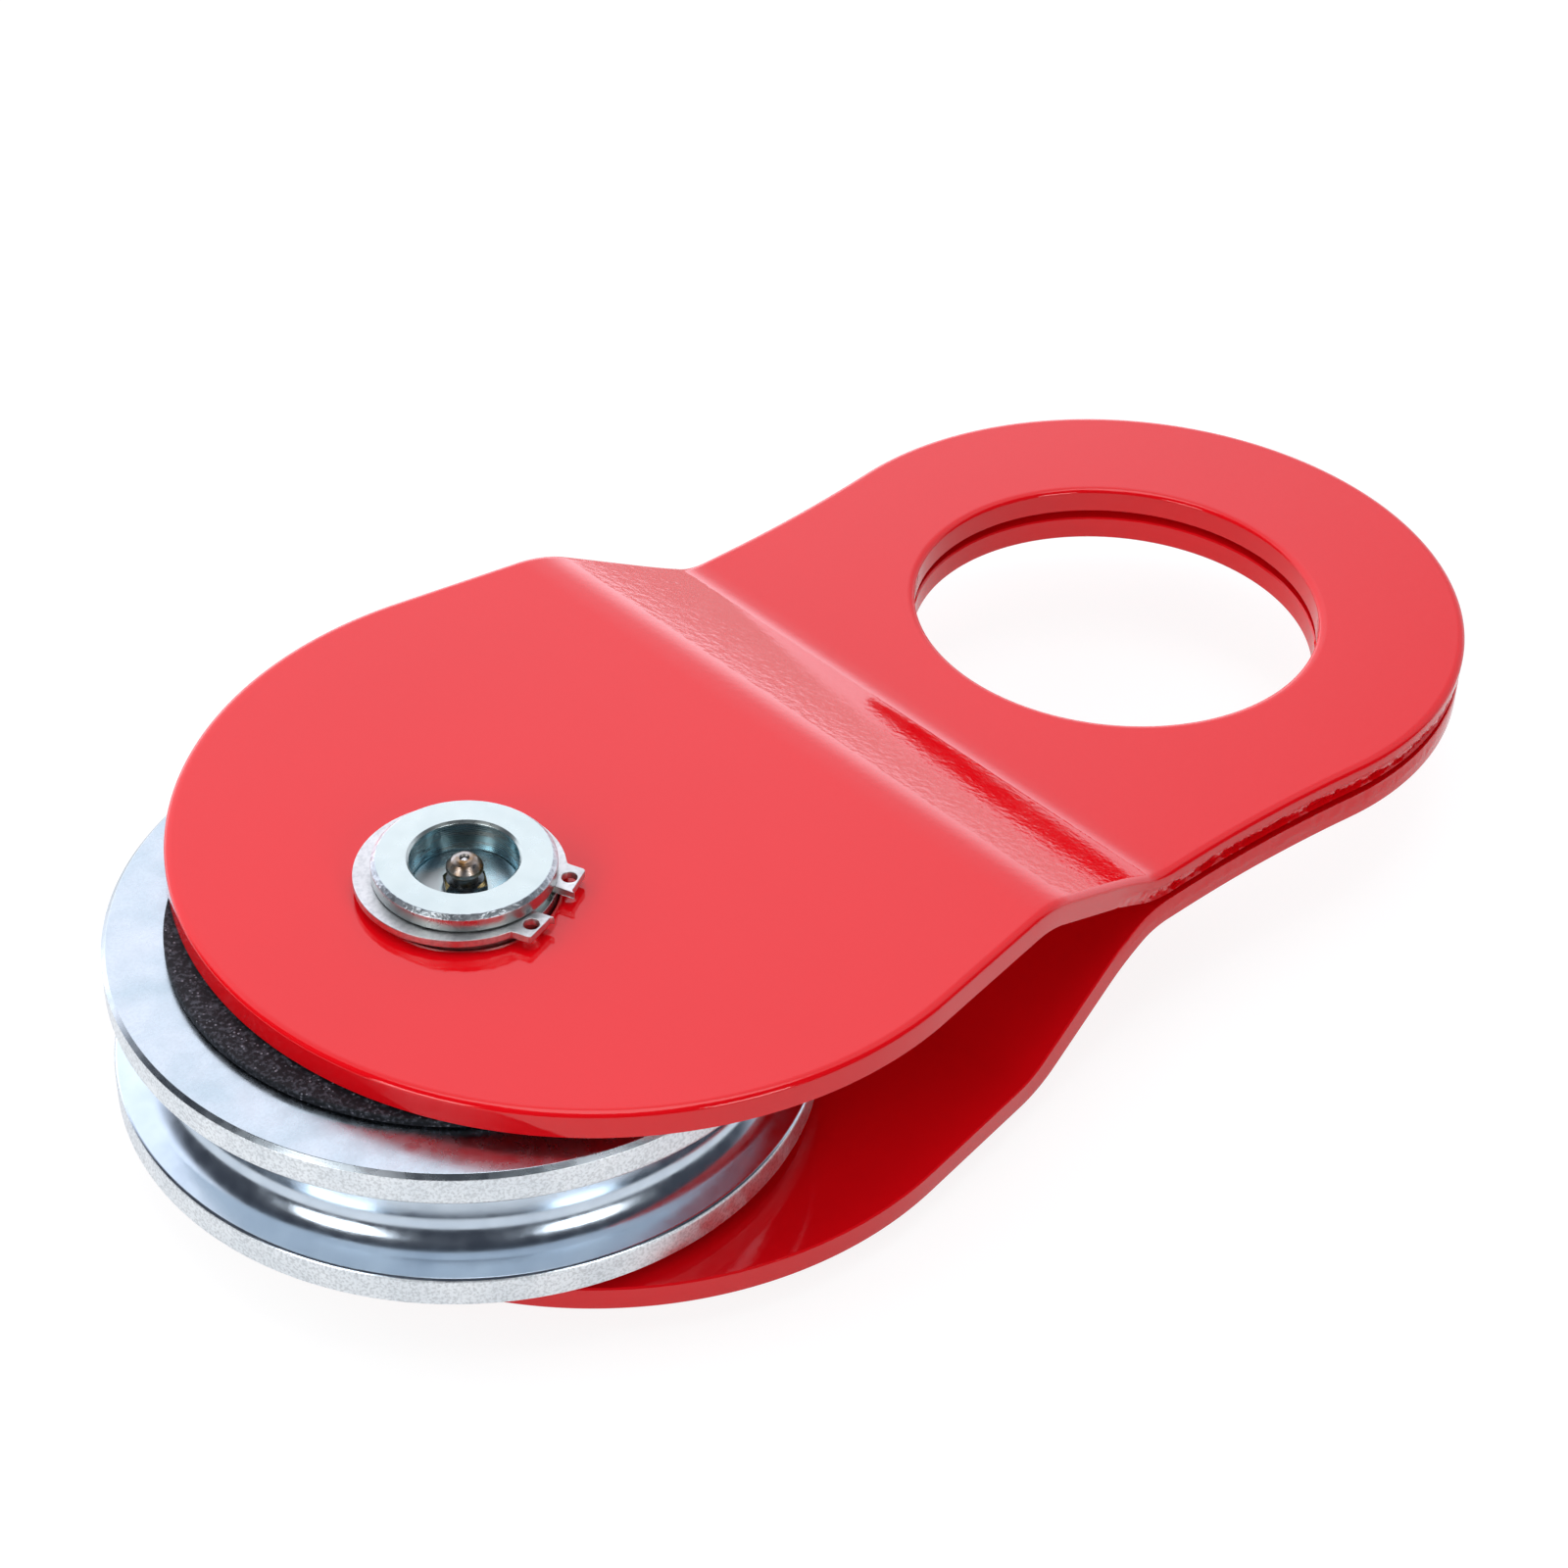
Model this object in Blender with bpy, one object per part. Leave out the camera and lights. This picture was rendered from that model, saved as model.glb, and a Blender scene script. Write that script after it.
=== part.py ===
"""Snatch block: two joggled side plates, a grooved sheave and a greased axle pin.

The pin axis is +Z, with the pin's lower end on z = 0. +X points from the pin to the shackle eye.
Both plates are the same blank, bent into a joggle so that their eyes lie on one another while
their lobes hold the sheave between them. The upper plate swings round the pin, so that a rope
can be laid in the groove before a shackle closes both eyes.
"""

import math

import bmesh
import bpy
from mathutils import Matrix, Vector

MM = 0.001

# Running and seating clearances
SEAT_GAP = 0.30 * MM
STACK_GAP = 0.35 * MM
PIN_RUNNING_GAP = 0.10 * MM
PRESSED_GAP = 0.10 * MM
VALVE_GAP = 0.10 * MM

# Axle pin and its grease bores
PIN_DIAMETER = 32.0 * MM
PIN_END_CHAMFER = 0.8 * MM
PIN_STAND_OUT = 3.5 * MM
PIN_END_PLAY = 1.5 * MM
NIPPLE_POCKET_DIAMETER = 18.9 * MM
NIPPLE_POCKET_DEPTH = 7.0 * MM
NIPPLE_POCKET_CHAMFER = 0.5 * MM
GREASE_BORE_DIAMETER = 4.0 * MM

# Snap rings in the pin's grooves
RING_THICKNESS = 1.5 * MM
RING_GROOVE_DEPTH = 0.9 * MM
RING_BACK_WIDTH = 3.9 * MM
RING_END_WIDTH = 2.1 * MM
RING_LUG_REACH = 5.2 * MM
RING_LUG_CORNER_RADIUS = 0.7 * MM
RING_LUG_ROOT_RADIUS = 0.9 * MM
RING_LUG_WIDTH = 6.3 * MM
RING_MOUTH = 7.4 * MM
RING_LUG_HOLE_DIAMETER = 2.8 * MM
RING_LUG_HOLE_REACH = 2.55 * MM
UPPER_RING_TURN = math.radians(-67.6)
LOWER_RING_TURN = math.radians(112.4)

# Sheave, its bush and the thrust washers on its faces
SHEAVE_DIAMETER = 125.0 * MM
SHEAVE_RIM_WIDTH = 5.5 * MM
SHEAVE_EDGE_CHAMFER = 0.85 * MM
GROOVE_DEPTH = 9.4 * MM
GROOVE_RADIUS = 8.2 * MM
GROOVE_FLANK_ANGLE = math.radians(15.5)
GROOVE_LIP_RADIUS = 1.0 * MM
BUSH_WALL = 3.0 * MM
BUSH_EDGE_CHAMFER = 0.5 * MM
WASHER_DIAMETER = 103.5 * MM
WASHER_THICKNESS = 1.6 * MM
WASHER_EDGE_CHAMFER = 0.3 * MM

# Side plates: blank, bends and holes
PLATE_THICKNESS = 5.4 * MM
PLATE_OUTER_EDGE_RADIUS = 0.9 * MM
PLATE_INNER_EDGE_CHAMFER = 0.3 * MM
LOBE_CENTRE_OFFSET = 30.0 * MM
LOBE_RADIUS = 76.0 * MM
BEND_CLEARANCE = 10.8 * MM
BEND_RUN = 35.0 * MM
OUTER_BEND_RADIUS = 20.0 * MM
INNER_BEND_RADIUS = 16.0 * MM
WAIST_STEP_BACK = 4.0 * MM
WAIST_INSET = 3.3 * MM
WAIST_BLEND_RADIUS = 60.0 * MM
TAPER_BLEND_RADIUS = 90.0 * MM
EYE_HOLE_STEP = 58.8 * MM
EYE_HOLE_DIAMETER = 82.0 * MM
EYE_ROUND_OFFSET = 3.1 * MM
EYE_OUTER_RADIUS = 68.3 * MM
EYE_GAP = 1.7 * MM

# Grease nipple, its valve ball and spring
NIPPLE_SHANK_DIAMETER = 6.0 * MM
NIPPLE_SHANK_LENGTH = 6.0 * MM
NIPPLE_HEX_STEP = 0.6 * MM
NIPPLE_HEX_HEIGHT = 1.9 * MM
NIPPLE_NECK_DIAMETER = 4.5 * MM
NIPPLE_NECK_LENGTH = 1.3 * MM
NIPPLE_HEAD_DIAMETER = 6.5 * MM
NIPPLE_HEAD_BAND = 0.5 * MM
NIPPLE_SHOULDER_DIAMETER = 4.5 * MM
NIPPLE_SHOULDER_HEIGHT = 1.3 * MM
NIPPLE_TIP_DIAMETER = 3.0 * MM
NIPPLE_TIP_HEIGHT = 0.45 * MM
NIPPLE_MOUTH_DIAMETER = 1.6 * MM
NIPPLE_MOUTH_LENGTH = 0.4 * MM
NIPPLE_EDGE_CHAMFER = 0.4 * MM
NIPPLE_LIP_THICKNESS = 0.5 * MM
BALL_DIAMETER = 2.5 * MM
BALL_SIDE_GAP = 0.25 * MM
SPRING_WIRE_DIAMETER = 0.34 * MM
SPRING_SIDE_GAP = 0.23 * MM
SPRING_TURNS = 7
SPRING_STEPS_PER_TURN = 10

# Facets
SHEAVE_STEPS = 72
WASHER_STEPS = 60
PIN_STEPS = 48
SMALL_TURNED_STEPS = 24
GROOVE_STEPS = 5
LIP_STEPS = 3
LOBE_STEPS = 20
EYE_STEPS = 22
BLEND_STEPS = 3
EYE_HOLE_STEPS = 48
PIN_HOLE_STEPS = 36
EDGE_ROUND_STEPS = 2
BEND_STEPS = 4
RING_STEPS = 36
RING_LUG_HOLE_STEPS = 16
SHARP_EDGE_ANGLE = math.radians(28.0)

# Radii that follow from the pin and the sheave
PIN_RADIUS = PIN_DIAMETER / 2
PLATE_HOLE_RADIUS = PIN_RADIUS + SEAT_GAP
RING_GROOVE_RADIUS = PIN_RADIUS - RING_GROOVE_DEPTH
RING_INNER_RADIUS = RING_GROOVE_RADIUS + SEAT_GAP
BUSH_INNER_RADIUS = PIN_RADIUS + PIN_RUNNING_GAP
BUSH_OUTER_RADIUS = BUSH_INNER_RADIUS + BUSH_WALL
SHEAVE_BORE_RADIUS = BUSH_OUTER_RADIUS + PRESSED_GAP
SHEAVE_RADIUS = SHEAVE_DIAMETER / 2
GROOVE_CENTRE_RADIUS = SHEAVE_RADIUS - GROOVE_DEPTH + GROOVE_RADIUS
FLANK_START_RADIUS = GROOVE_CENTRE_RADIUS - GROOVE_RADIUS * math.sin(GROOVE_FLANK_ANGLE)
LIP_CENTRE_RADIUS = SHEAVE_RADIUS - GROOVE_LIP_RADIUS
FLANK_RISE = (LIP_CENTRE_RADIUS - FLANK_START_RADIUS) * math.tan(GROOVE_FLANK_ANGLE)
LIP_CENTRE_RISE = (
    GROOVE_RADIUS * math.cos(GROOVE_FLANK_ANGLE)
    + FLANK_RISE
    + GROOVE_LIP_RADIUS / math.cos(GROOVE_FLANK_ANGLE)
)
SHEAVE_WIDTH = 2 * (LIP_CENTRE_RISE + SHEAVE_RIM_WIDTH)

# Lengths along the plates that follow from the sheave
OUTER_BEND_LINE = SHEAVE_RADIUS + BEND_CLEARANCE
INNER_BEND_LINE = OUTER_BEND_LINE + BEND_RUN
WAIST_START = INNER_BEND_LINE - WAIST_STEP_BACK
EYE_HOLE_CENTRE = INNER_BEND_LINE + EYE_HOLE_STEP

# Heights that follow from the stack, counted up from the pin's lower end
LOWER_RING_Z = PIN_STAND_OUT
LOWER_PLATE_Z = LOWER_RING_Z + RING_THICKNESS + SEAT_GAP
LOWER_WASHER_Z = LOWER_PLATE_Z + PLATE_THICKNESS + STACK_GAP
SHEAVE_Z = LOWER_WASHER_Z + WASHER_THICKNESS + STACK_GAP
MIDDLE_Z = SHEAVE_Z + SHEAVE_WIDTH / 2
UPPER_WASHER_Z = SHEAVE_Z + SHEAVE_WIDTH + STACK_GAP
UPPER_PLATE_Z = UPPER_WASHER_Z + WASHER_THICKNESS + STACK_GAP
UPPER_RING_Z = UPPER_PLATE_Z + PLATE_THICKNESS + PIN_END_PLAY
PIN_LENGTH = UPPER_RING_Z + RING_THICKNESS + PIN_STAND_OUT
POCKET_FLOOR_Z = PIN_LENGTH - NIPPLE_POCKET_DEPTH

# The nipple's inner sizes and its heights above the underside of its hexagon
NIPPLE_SEAT_Z = POCKET_FLOOR_Z + SEAT_GAP
NIPPLE_ACROSS_FLATS = NIPPLE_SHANK_DIAMETER + 2 * NIPPLE_HEX_STEP
NIPPLE_BORE_RADIUS = BALL_DIAMETER / 2 + BALL_SIDE_GAP
NIPPLE_NECK_TOP = NIPPLE_HEX_HEIGHT + NIPPLE_NECK_LENGTH
NIPPLE_BAND_BOTTOM = NIPPLE_NECK_TOP + (NIPPLE_HEAD_DIAMETER - NIPPLE_NECK_DIAMETER) / 2
NIPPLE_BAND_TOP = NIPPLE_BAND_BOTTOM + NIPPLE_HEAD_BAND
NIPPLE_SHOULDER_TOP = NIPPLE_BAND_TOP + NIPPLE_SHOULDER_HEIGHT
NIPPLE_TOP = NIPPLE_SHOULDER_TOP + NIPPLE_TIP_HEIGHT
VALVE_SEAT_TOP = NIPPLE_TOP - NIPPLE_MOUTH_LENGTH
VALVE_SEAT_APEX = VALVE_SEAT_TOP + NIPPLE_MOUTH_DIAMETER / 2
BALL_RISE = VALVE_SEAT_APEX - (BALL_DIAMETER / 2 + VALVE_GAP) * math.sqrt(2.0)


def make_material(name, colour, roughness, metallic):
    """Return a Principled material."""
    material = bpy.data.materials.new(name)
    material.use_nodes = True
    shader = material.node_tree.nodes["Principled BSDF"]
    shader.inputs["Base Color"].default_value = (*colour, 1.0)
    shader.inputs["Roughness"].default_value = roughness
    shader.inputs["Metallic"].default_value = metallic
    material.diffuse_color = (*colour, 1.0)
    return material


def finish_mesh(name, bm, material):
    """Turn a bmesh into a smooth shaded mesh with its hard edges kept sharp."""
    bmesh.ops.recalc_face_normals(bm, faces=bm.faces)
    mesh = bpy.data.meshes.new(name)
    bm.to_mesh(mesh)
    bm.free()
    mesh.shade_smooth()
    mesh.set_sharp_from_angle(angle=SHARP_EDGE_ANGLE)
    mesh.materials.append(material)
    return mesh


def add_piece(name, data, height, parent=None):
    """Add an object on the pin axis, at a height counted from the pin's lower end."""
    piece = bpy.data.objects.new(name, data)
    bpy.context.collection.objects.link(piece)
    if parent:
        piece.parent = parent
        height -= parent.location.z
    piece.location = (0.0, 0.0, height)
    return piece


def arc(centre, radius, start, end, steps):
    """Return points along an arc, both ends included."""
    points = []
    for step in range(steps + 1):
        angle = start + (end - start) * step / steps
        points.append((centre[0] + radius * math.cos(angle), centre[1] + radius * math.sin(angle)))
    return points


def circle(centre, radius, steps):
    """Return the corners of a round outline."""
    return arc(centre, radius, 0.0, math.tau, steps)[:-1]


def turned(profile, steps):
    """Spin a closed (radius, height) profile round Z into one solid."""
    bm = bmesh.new()
    verts = [bm.verts.new((radius, 0.0, height)) for radius, height in profile]
    edges = []
    for before, after in zip(verts, verts[1:] + verts[:1]):
        if before.co.x or after.co.x:
            edges.append(bm.edges.new((before, after)))
    bmesh.ops.spin(
        bm,
        geom=verts + edges,
        cent=(0.0, 0.0, 0.0),
        axis=(0.0, 0.0, 1.0),
        angle=math.tau,
        steps=steps,
        use_merge=True,
    )
    bmesh.ops.remove_doubles(bm, verts=bm.verts, dist=0.001 * MM)
    return bm


def rounded(corners, steps):
    """Return an open outline through (x, y, radius) corners, with the inner ones rounded off."""
    points = [corners[0][:2]]
    for before, corner, after in zip(corners, corners[1:], corners[2:]):
        tip = Vector(corner[:2])
        back = (Vector(before[:2]) - tip).normalized()
        ahead = (Vector(after[:2]) - tip).normalized()
        half = back.angle(ahead) / 2
        centre = tip + (back + ahead).normalized() * (corner[2] / math.sin(half))
        first = tip + back * (corner[2] / math.tan(half)) - centre
        turn = math.copysign(math.pi - 2 * half, first.cross(ahead))
        start = math.atan2(first.y, first.x)
        points += arc(centre, corner[2], start, start + turn, steps)
    points.append(corners[-1][:2])
    return points


def inset_loop(points, distance, is_hole):
    """Move an outline into the sheet by a distance, along the mean normal at each corner."""
    side = -1.0 if is_hole else 1.0
    moved = []
    for i, point in enumerate(points):
        corner = Vector(point)
        before = (corner - Vector(points[i - 1])).normalized()
        after = (Vector(points[(i + 1) % len(points)]) - corner).normalized()
        normal = Vector((-before.y - after.y, before.x + after.x)).normalized()
        stretch = normal.dot(Vector((-after.y, after.x)))
        moved.append(corner + normal * (side * distance / stretch))
    return moved


def sheet(outline, holes, levels):
    """Build a flat sheet from a counter-clockwise outline and holes.

    levels lists (inset, height) from the lower face to the upper one, which rounds the edges.
    """
    bm = bmesh.new()
    lower_edges = []
    upper_edges = []
    for points, is_hole in [(outline, False)] + [(hole, True) for hole in holes]:
        rings = []
        for inset, height in levels:
            ring = inset_loop(points, inset, is_hole)
            rings.append([bm.verts.new((corner.x, corner.y, height)) for corner in ring])
        for below, above in zip(rings, rings[1:]):
            for i in range(len(points)):
                bm.faces.new((below[i - 1], below[i], above[i], above[i - 1]))
        lower_edges += [bm.edges.get((rings[0][i - 1], rings[0][i])) for i in range(len(points))]
        upper_edges += [bm.edges.get((rings[-1][i - 1], rings[-1][i])) for i in range(len(points))]
    for edges in (lower_edges, upper_edges):
        bmesh.ops.triangle_fill(bm, use_beauty=True, use_dissolve=False, edges=edges)
    return bm


def plate_levels():
    """Return the side plate's levels: a chamfered inner edge and a rolled outer edge."""
    levels = [(PLATE_INNER_EDGE_CHAMFER, 0.0), (0.0, PLATE_INNER_EDGE_CHAMFER)]
    round_start = PLATE_THICKNESS - PLATE_OUTER_EDGE_RADIUS
    for inset, rise in arc((PLATE_OUTER_EDGE_RADIUS, 0.0), PLATE_OUTER_EDGE_RADIUS,
                           math.pi, math.pi / 2, EDGE_ROUND_STEPS):
        levels.append((inset, round_start + rise))
    return levels


class Joggle:
    """The side plate's two opposite bends, followed along the middle of its thickness."""

    def __init__(self):
        eye_middle = (EYE_GAP + PLATE_THICKNESS) / 2
        self.lobe_middle = UPPER_PLATE_Z - MIDDLE_Z + PLATE_THICKNESS / 2
        drop = self.lobe_middle - eye_middle
        self.angle = math.atan2(drop, INNER_BEND_LINE - OUTER_BEND_LINE)
        self.outer_radius = OUTER_BEND_RADIUS + PLATE_THICKNESS / 2
        self.inner_radius = INNER_BEND_RADIUS + PLATE_THICKNESS / 2
        outer_set_back = self.outer_radius * math.tan(self.angle / 2)
        inner_set_back = self.inner_radius * math.tan(self.angle / 2)
        slope = drop / math.sin(self.angle) - outer_set_back - inner_set_back
        self.outer_start = OUTER_BEND_LINE - outer_set_back
        self.outer_end = self.outer_start + self.outer_radius * self.angle
        self.inner_start = self.outer_end + slope
        self.inner_end = self.inner_start + self.inner_radius * self.angle
        self.stretch = self.inner_end - INNER_BEND_LINE - inner_set_back

    def crease_lines(self):
        """Return the places along the blank where the bends' facets meet."""
        lines = []
        for start, end in ((self.outer_start, self.outer_end), (self.inner_start, self.inner_end)):
            lines += [start + (end - start) * step / BEND_STEPS for step in range(BEND_STEPS + 1)]
        return lines

    def bend(self, along, across, out):
        """Move a point of the flat blank to its place on the joggled plate.

        out is counted from the middle of the thickness towards the plate's outer face.
        """
        x = min(along, self.outer_start)
        z = self.lobe_middle
        turn = 0.0
        if along > self.outer_start:
            turn = (min(along, self.outer_end) - self.outer_start) / self.outer_radius
            x += self.outer_radius * math.sin(turn)
            z -= self.outer_radius * (1.0 - math.cos(turn))
        if along > self.outer_end:
            run = min(along, self.inner_start) - self.outer_end
            x += run * math.cos(self.angle)
            z -= run * math.sin(self.angle)
        if along > self.inner_start:
            turn = (self.inner_end - min(along, self.inner_end)) / self.inner_radius
            x += self.inner_radius * (math.sin(self.angle) - math.sin(turn))
            z -= self.inner_radius * (math.cos(turn) - math.cos(self.angle))
        x += max(0.0, along - self.inner_end)
        return Vector((x + out * math.sin(turn), across, z + out * math.cos(turn)))


def plate_outline(stretch):
    """Return the flat blank's outline, counter-clockwise, with the pin at the origin."""
    waist = EYE_OUTER_RADIUS - WAIST_INSET
    eye_x = EYE_HOLE_CENTRE + EYE_ROUND_OFFSET + stretch
    blend_y = waist + WAIST_BLEND_RADIUS
    blend_x = eye_x - math.sqrt((EYE_OUTER_RADIUS + WAIST_BLEND_RADIUS) ** 2 - blend_y ** 2)
    eye_end = math.atan2(blend_y, blend_x - eye_x)
    half = arc((eye_x, 0.0), EYE_OUTER_RADIUS, 0.0, eye_end, EYE_STEPS)
    half += arc((blend_x, blend_y), WAIST_BLEND_RADIUS, eye_end - math.pi, -math.pi / 2, BLEND_STEPS)[1:]

    run = WAIST_START - LOBE_CENTRE_OFFSET
    lobe_start = math.atan2(waist, run) + math.acos(LOBE_RADIUS / math.hypot(run, waist))
    lobe = arc((LOBE_CENTRE_OFFSET, 0.0), LOBE_RADIUS, lobe_start, math.pi, LOBE_STEPS)
    taper = rounded([(*half[-1], 0.0), (WAIST_START, waist, TAPER_BLEND_RADIUS), (*lobe[0], 0.0)],
                    BLEND_STEPS)
    half += taper[1:-1] + lobe
    return half + [(x, -y) for x, y in reversed(half[1:-1])]


def side_plate_mesh(material):
    """Cut the blank, round its edges and bend the joggle, about the block's middle plane."""
    joggle = Joggle()
    eye_hole = circle((EYE_HOLE_CENTRE + joggle.stretch, 0.0), EYE_HOLE_DIAMETER / 2, EYE_HOLE_STEPS)
    pin_hole = circle((0.0, 0.0), PLATE_HOLE_RADIUS, PIN_HOLE_STEPS)
    bm = sheet(plate_outline(joggle.stretch), [eye_hole, pin_hole], plate_levels())
    for line in joggle.crease_lines():
        bmesh.ops.bisect_plane(
            bm,
            geom=bm.verts[:] + bm.edges[:] + bm.faces[:],
            dist=0.001 * MM,
            plane_co=(line, 0.0, 0.0),
            plane_no=(1.0, 0.0, 0.0),
        )
    for vert in bm.verts:
        vert.co = joggle.bend(vert.co.x, vert.co.y, vert.co.z - PLATE_THICKNESS / 2)
    return finish_mesh("side_plate", bm, material)


def axle_pin_mesh(material):
    """Turn the axle pin with its two ring grooves, nipple pocket and axial grease bore."""
    pocket = NIPPLE_POCKET_DIAMETER / 2
    thread = NIPPLE_SHANK_DIAMETER / 2 + SEAT_GAP
    bore = GREASE_BORE_DIAMETER / 2
    thread_end = NIPPLE_SEAT_Z - NIPPLE_SHANK_LENGTH - SEAT_GAP
    bore_end = MIDDLE_Z - 2 * bore
    profile = [(0.0, 0.0), (PIN_RADIUS - PIN_END_CHAMFER, 0.0), (PIN_RADIUS, PIN_END_CHAMFER)]
    for ring_z in (LOWER_RING_Z, UPPER_RING_Z):
        low = ring_z - SEAT_GAP
        high = ring_z + RING_THICKNESS + SEAT_GAP
        profile += [(PIN_RADIUS, low), (RING_GROOVE_RADIUS, low)]
        profile += [(RING_GROOVE_RADIUS, high), (PIN_RADIUS, high)]
    profile += [(PIN_RADIUS, PIN_LENGTH - PIN_END_CHAMFER), (PIN_RADIUS - PIN_END_CHAMFER, PIN_LENGTH)]
    profile += [(pocket + NIPPLE_POCKET_CHAMFER, PIN_LENGTH), (pocket, PIN_LENGTH - NIPPLE_POCKET_CHAMFER)]
    profile += [(pocket, POCKET_FLOOR_Z), (thread, POCKET_FLOOR_Z)]
    profile += [(thread, thread_end), (bore, thread_end - (thread - bore))]
    profile += [(bore, bore_end), (0.0, bore_end - bore / 2)]
    return finish_mesh("axle_pin", turned(profile, PIN_STEPS), material)


def drill_cross_bore(pin, material):
    """Drill the hole that leads grease from the pin's axial bore to the bush."""
    bm = bmesh.new()
    bmesh.ops.create_cone(
        bm,
        cap_ends=True,
        segments=SMALL_TURNED_STEPS,
        radius1=GREASE_BORE_DIAMETER / 2,
        radius2=GREASE_BORE_DIAMETER / 2,
        depth=PIN_DIAMETER,
        matrix=Matrix.Rotation(math.pi / 2, 4, "Y"),
    )
    drill = add_piece("cross_bore_drill", finish_mesh("cross_bore_drill", bm, material), MIDDLE_Z, pin)
    drill.location.x = PIN_RADIUS
    drill.hide_render = True
    drill.display_type = "WIRE"
    cut = pin.modifiers.new("cross_bore", "BOOLEAN")
    cut.operation = "DIFFERENCE"
    cut.solver = "EXACT"
    cut.object = drill


def snap_ring_outline():
    """Return the ring's outline, open at +X, with its two lugs beside the mouth."""
    body_radius = RING_INNER_RADIUS + (RING_BACK_WIDTH + RING_END_WIDTH) / 2
    body_x = (RING_END_WIDTH - RING_BACK_WIDTH) / 2
    mouth = RING_MOUTH / 2
    side = mouth + RING_LUG_WIDTH
    reach = RING_INNER_RADIUS + RING_LUG_REACH
    root = math.asin(side / body_radius)
    inner_start = math.asin(mouth / RING_INNER_RADIUS)
    body = arc((body_x, 0.0), body_radius, root, math.tau - root, RING_STEPS)[1:-1]
    inner = arc((0.0, 0.0), RING_INNER_RADIUS, math.tau - inner_start, inner_start, RING_STEPS)
    corners = [
        (*inner[-1], 0.0),
        (math.sqrt(reach ** 2 - mouth ** 2), mouth, RING_LUG_CORNER_RADIUS),
        (math.sqrt(reach ** 2 - side ** 2), side, RING_LUG_CORNER_RADIUS),
        (body_x + body_radius * math.cos(root), side, RING_LUG_ROOT_RADIUS),
        (*body[0], 0.0),
    ]
    lug = rounded(corners, LIP_STEPS)[1:-1]
    return lug + body + [(x, -y) for x, y in reversed(lug)] + inner


def snap_ring_mesh(material):
    """Stamp the snap ring with its plier holes."""
    side = (RING_MOUTH + RING_LUG_WIDTH) / 2
    along = math.sqrt((RING_INNER_RADIUS + RING_LUG_HOLE_REACH) ** 2 - side ** 2)
    holes = []
    for y in (side, -side):
        holes.append(circle((along, y), RING_LUG_HOLE_DIAMETER / 2, RING_LUG_HOLE_STEPS))
    bm = sheet(snap_ring_outline(), holes, [(0.0, 0.0), (0.0, RING_THICKNESS)])
    return finish_mesh("snap_ring", bm, material)


def sheave_mesh(material):
    """Turn the sheave with its rope groove, about the groove's middle plane."""
    face = SHEAVE_WIDTH / 2
    flank_bearing = math.pi / 2 + GROOVE_FLANK_ANGLE
    half = arc((GROOVE_CENTRE_RADIUS, 0.0), GROOVE_RADIUS, math.pi, flank_bearing, GROOVE_STEPS)
    half += arc((LIP_CENTRE_RADIUS, LIP_CENTRE_RISE), GROOVE_LIP_RADIUS, flank_bearing - math.pi, 0.0,
                LIP_STEPS)
    half += [(SHEAVE_RADIUS, face - SHEAVE_EDGE_CHAMFER), (SHEAVE_RADIUS - SHEAVE_EDGE_CHAMFER, face)]
    half.append((SHEAVE_BORE_RADIUS, face))
    profile = [(radius, -height) for radius, height in reversed(half[1:])] + half
    return finish_mesh("sheave", turned(profile, SHEAVE_STEPS), material)


def collar_mesh(name, inner, outer, length, chamfer, steps, material):
    """Turn a plain bush or washer with chamfered outer edges, standing on height 0."""
    profile = [(inner, 0.0), (outer - chamfer, 0.0), (outer, chamfer)]
    profile += [(outer, length - chamfer), (outer - chamfer, length), (inner, length)]
    return finish_mesh(name, turned(profile, steps), material)


def nipple_sections():
    """Return the nipple's (radius, across flats, height) rings, up its outside and down its bore.

    Height 0 is the underside of its hexagon. A ring has a radius or a size across flats.
    """
    shank = NIPPLE_SHANK_DIAMETER / 2
    neck = NIPPLE_NECK_DIAMETER / 2
    head = NIPPLE_HEAD_DIAMETER / 2
    mouth = NIPPLE_MOUTH_DIAMETER / 2
    foot = -NIPPLE_SHANK_LENGTH
    lip = foot + NIPPLE_LIP_THICKNESS
    hex_edge = NIPPLE_HEX_HEIGHT - NIPPLE_EDGE_CHAMFER
    return [
        (shank - NIPPLE_EDGE_CHAMFER, None, foot),
        (shank, None, foot + NIPPLE_EDGE_CHAMFER),
        (shank, None, 0.0),
        (None, NIPPLE_ACROSS_FLATS, 0.0),
        (None, NIPPLE_ACROSS_FLATS, hex_edge),
        (NIPPLE_ACROSS_FLATS / 2 - NIPPLE_EDGE_CHAMFER, None, NIPPLE_HEX_HEIGHT),
        (neck, None, NIPPLE_HEX_HEIGHT),
        (neck, None, NIPPLE_NECK_TOP),
        (head, None, NIPPLE_BAND_BOTTOM),
        (head, None, NIPPLE_BAND_TOP),
        (NIPPLE_SHOULDER_DIAMETER / 2, None, NIPPLE_SHOULDER_TOP),
        (NIPPLE_TIP_DIAMETER / 2, None, NIPPLE_TOP),
        (mouth, None, NIPPLE_TOP),
        (mouth, None, VALVE_SEAT_TOP),
        (NIPPLE_BORE_RADIUS, None, VALVE_SEAT_APEX - NIPPLE_BORE_RADIUS),
        (NIPPLE_BORE_RADIUS, None, lip),
        (mouth, None, lip),
        (mouth, None, foot),
    ]


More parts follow.
